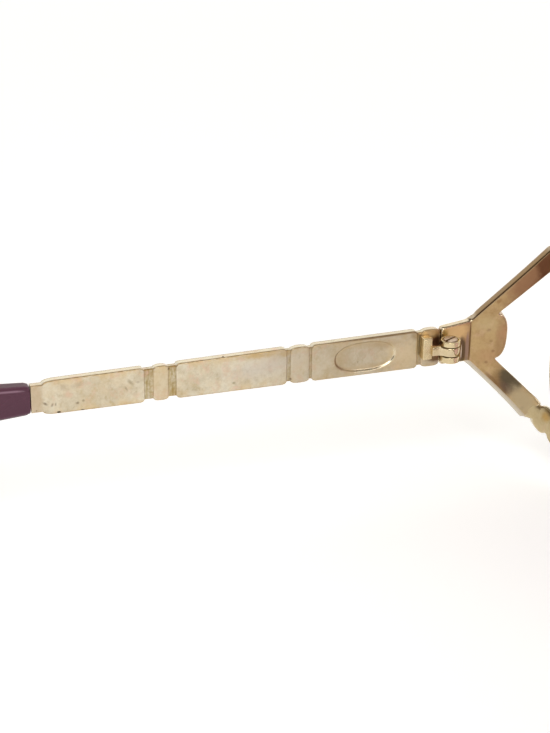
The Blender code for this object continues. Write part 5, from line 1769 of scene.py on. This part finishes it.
def brow_bar_mesh():
    """Flat bar that lies on the tops of both rims and crosses over the bridge."""
    right = along_rim(brow_bar_end, brow_bar_start, 33)
    inner, outer = right[0], right[-1]
    sunk = seat + solder_reach
    top = outer[1] + sunk + trim_end_height
    crown = inner[1] + sunk + brow_bar_width
    over = bezier(
        (outer[0], top), (outer[0] - 8.0, top + 1.6), (inner[0] + 2.0, crown + 0.4), (0.0, crown), 30)
    half = right + [(outer[0], top)] + over[:-1]
    outline = half + [(0.0, crown)] + mirrored(half)
    outline.append((0.0, inner[1] + sunk + 0.6))
    cuts = [-46.0 + 1.6 * i for i in range(58)]
    return smoothed(slab("brow", outline, bar_levels(0.2), centre_place, cuts, radius=0.3), 45.0)


def closing_frame(side):
    """Middle of the rim's back face at its split, and its axes: along the rim, outwards, forwards."""
    a, b, out_a, out_b = edge_stretch(closing_angle - 1, closing_angle + 1, 3)[1]
    middle_reach = (rim_wall - rim_lip) / 2

    def point(reach, along):
        reach += middle_reach
        place = on_front(a + out_a * reach - out_b * along, b + out_b * reach + out_a * along)
        return front_place(*place, 0.0, side)

    centre = point(0.0, 0.0)
    outwards = (point(1.0, 0.0) - centre).normalized()
    forwards = outwards.cross((point(0.0, 1.0) - centre).normalized()).normalized()
    if forwards.y > 0:
        forwards.negate()
    return centre, (forwards.cross(outwards).normalized(), outwards, forwards)


def closing_blocks(side):
    centre, axes = closing_frame(side)
    sizes = (closing_block_length, closing_block_width, closing_block_depth + seat)
    blocks = []
    for turn in (-1, 1):
        middle = centre + axes[0] * turn * (rim_split + closing_block_length) / 2
        middle -= axes[2] * (closing_block_depth - seat) / 2
        blocks.append(block_mesh(middle, axes, sizes))
    return blocks


for side, word in SIDES:
    rim = joined("rim", [rim_mesh(side), *closing_blocks(side)])
    show(f"rim_wire_{word}", smoothed(rim, 40.0), "front", [f"rim_{word}"], front_gold)
    show(f"lens_glass_{word}", lens_mesh(side), "front", [f"lens_{word}"], lens_glass)
show("nose_bridge", bridge_mesh(), "front", ["bridge"], front_gold)
show("brow_trim", brow_bar_mesh(), "front", ["brow_bar"], front_gold)


# Nose pads and screws

# (depth from the middle, share of the full oval) of the pad's rings
PAD_PROFILE = (
    (-1.0, 0.12), (-1.0, 0.5), (-0.93, 0.72), (-0.75, 0.87), (-0.48, 0.96), (-0.2, 1.0), (0.1, 0.99),
    (0.38, 0.94), (0.62, 0.83), (0.8, 0.68), (0.92, 0.48), (0.98, 0.28), (1.0, 0.1))


def pad_frame(side):
    """Middle of a pad and its axes: out of its face, up along it, across it."""
    rim_y = front_place(NOSE_END, 0.0, 0.0, side).y
    centre = Vector((side * pad_half_distance, rim_y + pad_setback, AXIS_Z - pad_drop))
    frontal = math.radians(pad_frontal_angle)
    splay = math.radians(pad_splay_angle)
    face = Vector((-side * math.cos(frontal), math.sin(frontal), 0.0))
    up = Vector((-side * math.sin(splay), 0.0, math.cos(splay)))
    up = (up - face * up.dot(face)).normalized()
    return centre, face, up, face.cross(up).normalized()


def pad_screw_centre(side):
    centre, face, _, _ = pad_frame(side)
    return centre - face * (pad_thickness / 2 + lug_length - lug_size / 2)


def pad_mesh(side):
    """Soft oval pad with a rolled rim, a little fuller at its top."""
    centre, face, up, across = pad_frame(side)
    sides = 56
    rings, edges = [], []
    for depth, share in PAD_PROFILE:
        middle = centre + face * (depth * pad_thickness / 2)
        rings.append([
            middle + across * (x * share) + up * (y * share * (1 + 0.06 * y / (pad_length / 2)))
            for x, y in oval(sides, pad_width / 2, pad_length / 2)])
        edges += [between(share, 0.8, 1.0)] * sides
    body = mesh_of("pad", *tube(rings))
    paint(body, "edge", edges)
    return smoothed(body, 60.0, False)


def pad_lug(side):
    centre, face, up, across = pad_frame(side)
    lug_middle = centre - face * (pad_thickness / 2 + lug_length / 2 - lug_sink / 2)
    return block_mesh(lug_middle, (face, up, across), (lug_length + lug_sink, lug_width, lug_size), 0.3)


def screw_head_mesh():
    """Slotted head of unit radius and height, its edge rolled."""
    half_slot, slot_floor, over = 0.16, 0.15, 1.2
    profile = ((1.0, 0.0), (1.0, 0.62), (0.985, 0.8), (0.93, 0.93), (0.84, 1.0))
    corners = product((-over, over), (-half_slot, half_slot), (slot_floor, 1.4))
    slot = mesh_of("slot", corners, BLOCK_FACES, unit=1)
    head = rolled_edges(carved(round_mesh(profile, 48, unit=1), slot), 0.035, 2, 40.0)
    # painted shade in the slot
    paint(head, "line", [
        1.0 if abs(point.co.y) < half_slot + 0.01 and slot_floor - 0.05 < point.co.z < 0.93 else 0.0
        for point in head.vertices])
    return head


def shank_mesh():
    """Threaded shank of unit radius and length."""
    turns = 36
    return round_mesh([(0.91 if step % 2 else 1.0, step / turns) for step in range(turns + 1)], 24, unit=1)


def turn_of(axis):
    """Angles that stand a shape's Z on an axis."""
    return tuple(Vector(axis).to_track_quat("Z", "Y").to_euler())


def screw_places():
    """Places of the heads and the shanks: hinge, closing and pad screws of both sides."""
    heads, shanks = [], []

    def add(places, point, turn, radius, length):
        places.append((point, turn, (radius * MM, radius * MM, length * MM)))

    (bottom, _), _, (_, top) = knuckle_levels()
    head = top - head_recess + knuckle_gap / 2
    half = rim_split / 2 + closing_block_length
    reach = lug_size / 2 + ear_gap + ear_thickness
    for side, word in SIDES:
        centre = HINGE[word]
        turn = (0.0, 0.0, -math.radians(90 - slot_turn) * side)
        add(heads, centre + Vector((0, 0, head)), turn, screw_head_radius, screw_head_height)
        add(shanks, centre + Vector((0, 0, bottom)), (0.0, 0.0, 0.0), screw_radius, head - bottom)

        back, (along, _, forwards) = closing_frame(side)
        centre = back - forwards * closing_block_depth / 2
        turn = turn_of(along)
        end = centre + along * (half + closing_head_play)
        add(heads, end, turn, closing_head_radius, closing_head_height)
        add(shanks, centre - along * half, turn, closing_screw_radius, 2 * half)

        across = pad_frame(side)[3]
        centre = pad_screw_centre(side)
        turn = turn_of(across)
        add(heads, centre + across * (reach + pad_head_play), turn, pad_head_radius, pad_head_height)
        add(shanks, centre - across * reach, turn, pad_screw_radius, 2 * reach)
    return heads, shanks


for side, word in SIDES:
    show(f"pad_lug_{word}", smoothed(pad_lug(side), 40.0), f"pad_{word}", [], pad_silicone)
    show(f"pad_oval_{word}", pad_mesh(side), f"pad_{word}",
         [f"nose_pad_{word}"], pad_silicone)
    show(f"pad_holder_{word}", rounded_solid(f"pad_arm_{word}", 0.08), "front",
         [f"pad_arm_{word}"], front_gold)
head_places, shank_places = screw_places()
screws = joined("screws", [
    copies(screw_head_mesh(), head_places, screw_metal),
    copies(shank_mesh(), shank_places, screw_metal),
])
show("screws", smoothed(screws, 40.0, False), "front",
     [f"{name}_{word}" for name in ("hinge_screw", "closing_screw", "pad_screw") for _, word in SIDES],
     screw_metal)


# Stage

def floor_material():
    """White paper: it keeps the shadow, and shows white to the camera and in reflections."""
    material, tree, shader, place = principled("white_paper")
    fill(shader, {"Base Color": (0.82, 0.82, 0.81, 1.0), "Roughness": 0.9})
    path = node(tree, "ShaderNodeLightPath")
    seen = out(path, "Is Camera Ray")
    for ray in ("Is Glossy Ray", "Is Transmission Ray"):
        seen = seen.worked("MAXIMUM", seen, out(path, ray))
    strength = ramp(vectors("LENGTH", place, result="Value"), 0.25, 1.4, 0.42, 0.8)
    glow = node(tree, "ShaderNodeEmission", {"Strength": seen * strength})
    both = node(tree, "ShaderNodeAddShader", {0: out(shader), 1: out(glow)})
    fill(tree.nodes["Material Output"], {"Surface": out(both)})
    return material


def stage():
    """A pale floor, and a studio whose dark panels give the metal its contrast."""
    reach, below = 6000.0, -0.02
    corners = [(-reach, -reach, below), (reach, -reach, below), (reach, reach, below), (-reach, reach, below)]
    floor = placed("floor", mesh_of("floor", corners, [(0, 1, 2, 3)]))
    floor.data.materials.append(floor_material())
    world = bpy.data.worlds.new("studio")
    bpy.context.scene.world = world
    world.use_nodes = True
    tree = world.node_tree
    tree.nodes.clear()
    direction = out(node(tree, "ShaderNodeTexCoord"), "Generated")

    def panel(aim, far, near, colour, under):
        """A soft panel of one colour round the direction that it stands in."""
        towards = vectors("DOT_PRODUCT", direction, Vector(aim).normalized(), result="Value")
        return blended(ramp(towards, far, near), under, (*colour, 1))

    up = out(node(tree, "ShaderNodeSeparateXYZ", {0: direction}), "Z")
    light = blended(ramp(up, 0.62, 0.86), WHITE, (0.20, 0.16, 0.11, 1))
    light = panel((-0.15, 0.93, 0.30), 0.80, 0.93, (0.16, 0.12, 0.08), light)
    light = panel((0.86, -0.30, 0.42), 0.80, 0.95, (1.15, 1.12, 1.05), light)
    seen = blended(out(node(tree, "ShaderNodeLightPath"), "Is Camera Ray"), light, WHITE)
    background = node(tree, "ShaderNodeBackground", {"Color": seen, "Strength": 1.0})
    node(tree, "ShaderNodeOutputWorld", {"Surface": out(background)})


def lamp(name, place, target, size, power):
    """A soft round lamp that points at its target."""
    light = bpy.data.lights.new(name, "AREA")
    light.shape, light.size, light.energy = "DISK", size, power
    holder = placed(name, light)
    holder.location = place
    holder.rotation_euler = (Vector(target) - Vector(place)).to_track_quat("-Z", "Y").to_euler()


def camera():
    """The photograph's view: from the wearer's right, down on the inside of the left temple."""
    turn, elevation, roll = math.radians(19.04), math.radians(24.78), math.radians(-0.78)
    distance, width_per_pixel, pixels, sensor = 325.84, 0.175, 550, 36.0
    target = Vector((STRIP_X, HINGE_Y + 32.45, AXIS_Z + 0.38))
    look = Vector((
        math.cos(turn) * math.cos(elevation), -math.sin(turn) * math.cos(elevation), -math.sin(elevation)))
    right = look.cross(Vector((0, 0, 1))).normalized()
    up = right.cross(look)
    across = right * math.cos(roll) - up * math.sin(roll)
    upwards = right * math.sin(roll) + up * math.cos(roll)
    data = bpy.data.cameras.new("camera")
    data.sensor_fit, data.sensor_width = "HORIZONTAL", sensor
    data.lens = distance / width_per_pixel / pixels * sensor
    data.clip_start, data.clip_end = 0.01, 50.0
    holder = placed("camera", data)
    axes = Matrix((across, upwards, -look)).transposed().to_4x4()
    holder.matrix_world = Matrix.Translation((target - look * distance) * MM) @ axes
    bpy.context.scene.camera = holder


stage()
lamp("key", (-0.33, 0.16, 0.64), (0.06, 0.0, 0.02), 0.42, 1.7)
lamp("side", (-0.80, -0.28, 0.32), (0.07, 0.03, 0.02), 0.22, 0.9)
camera()
bpy.context.scene.view_settings.view_transform = "Standard"
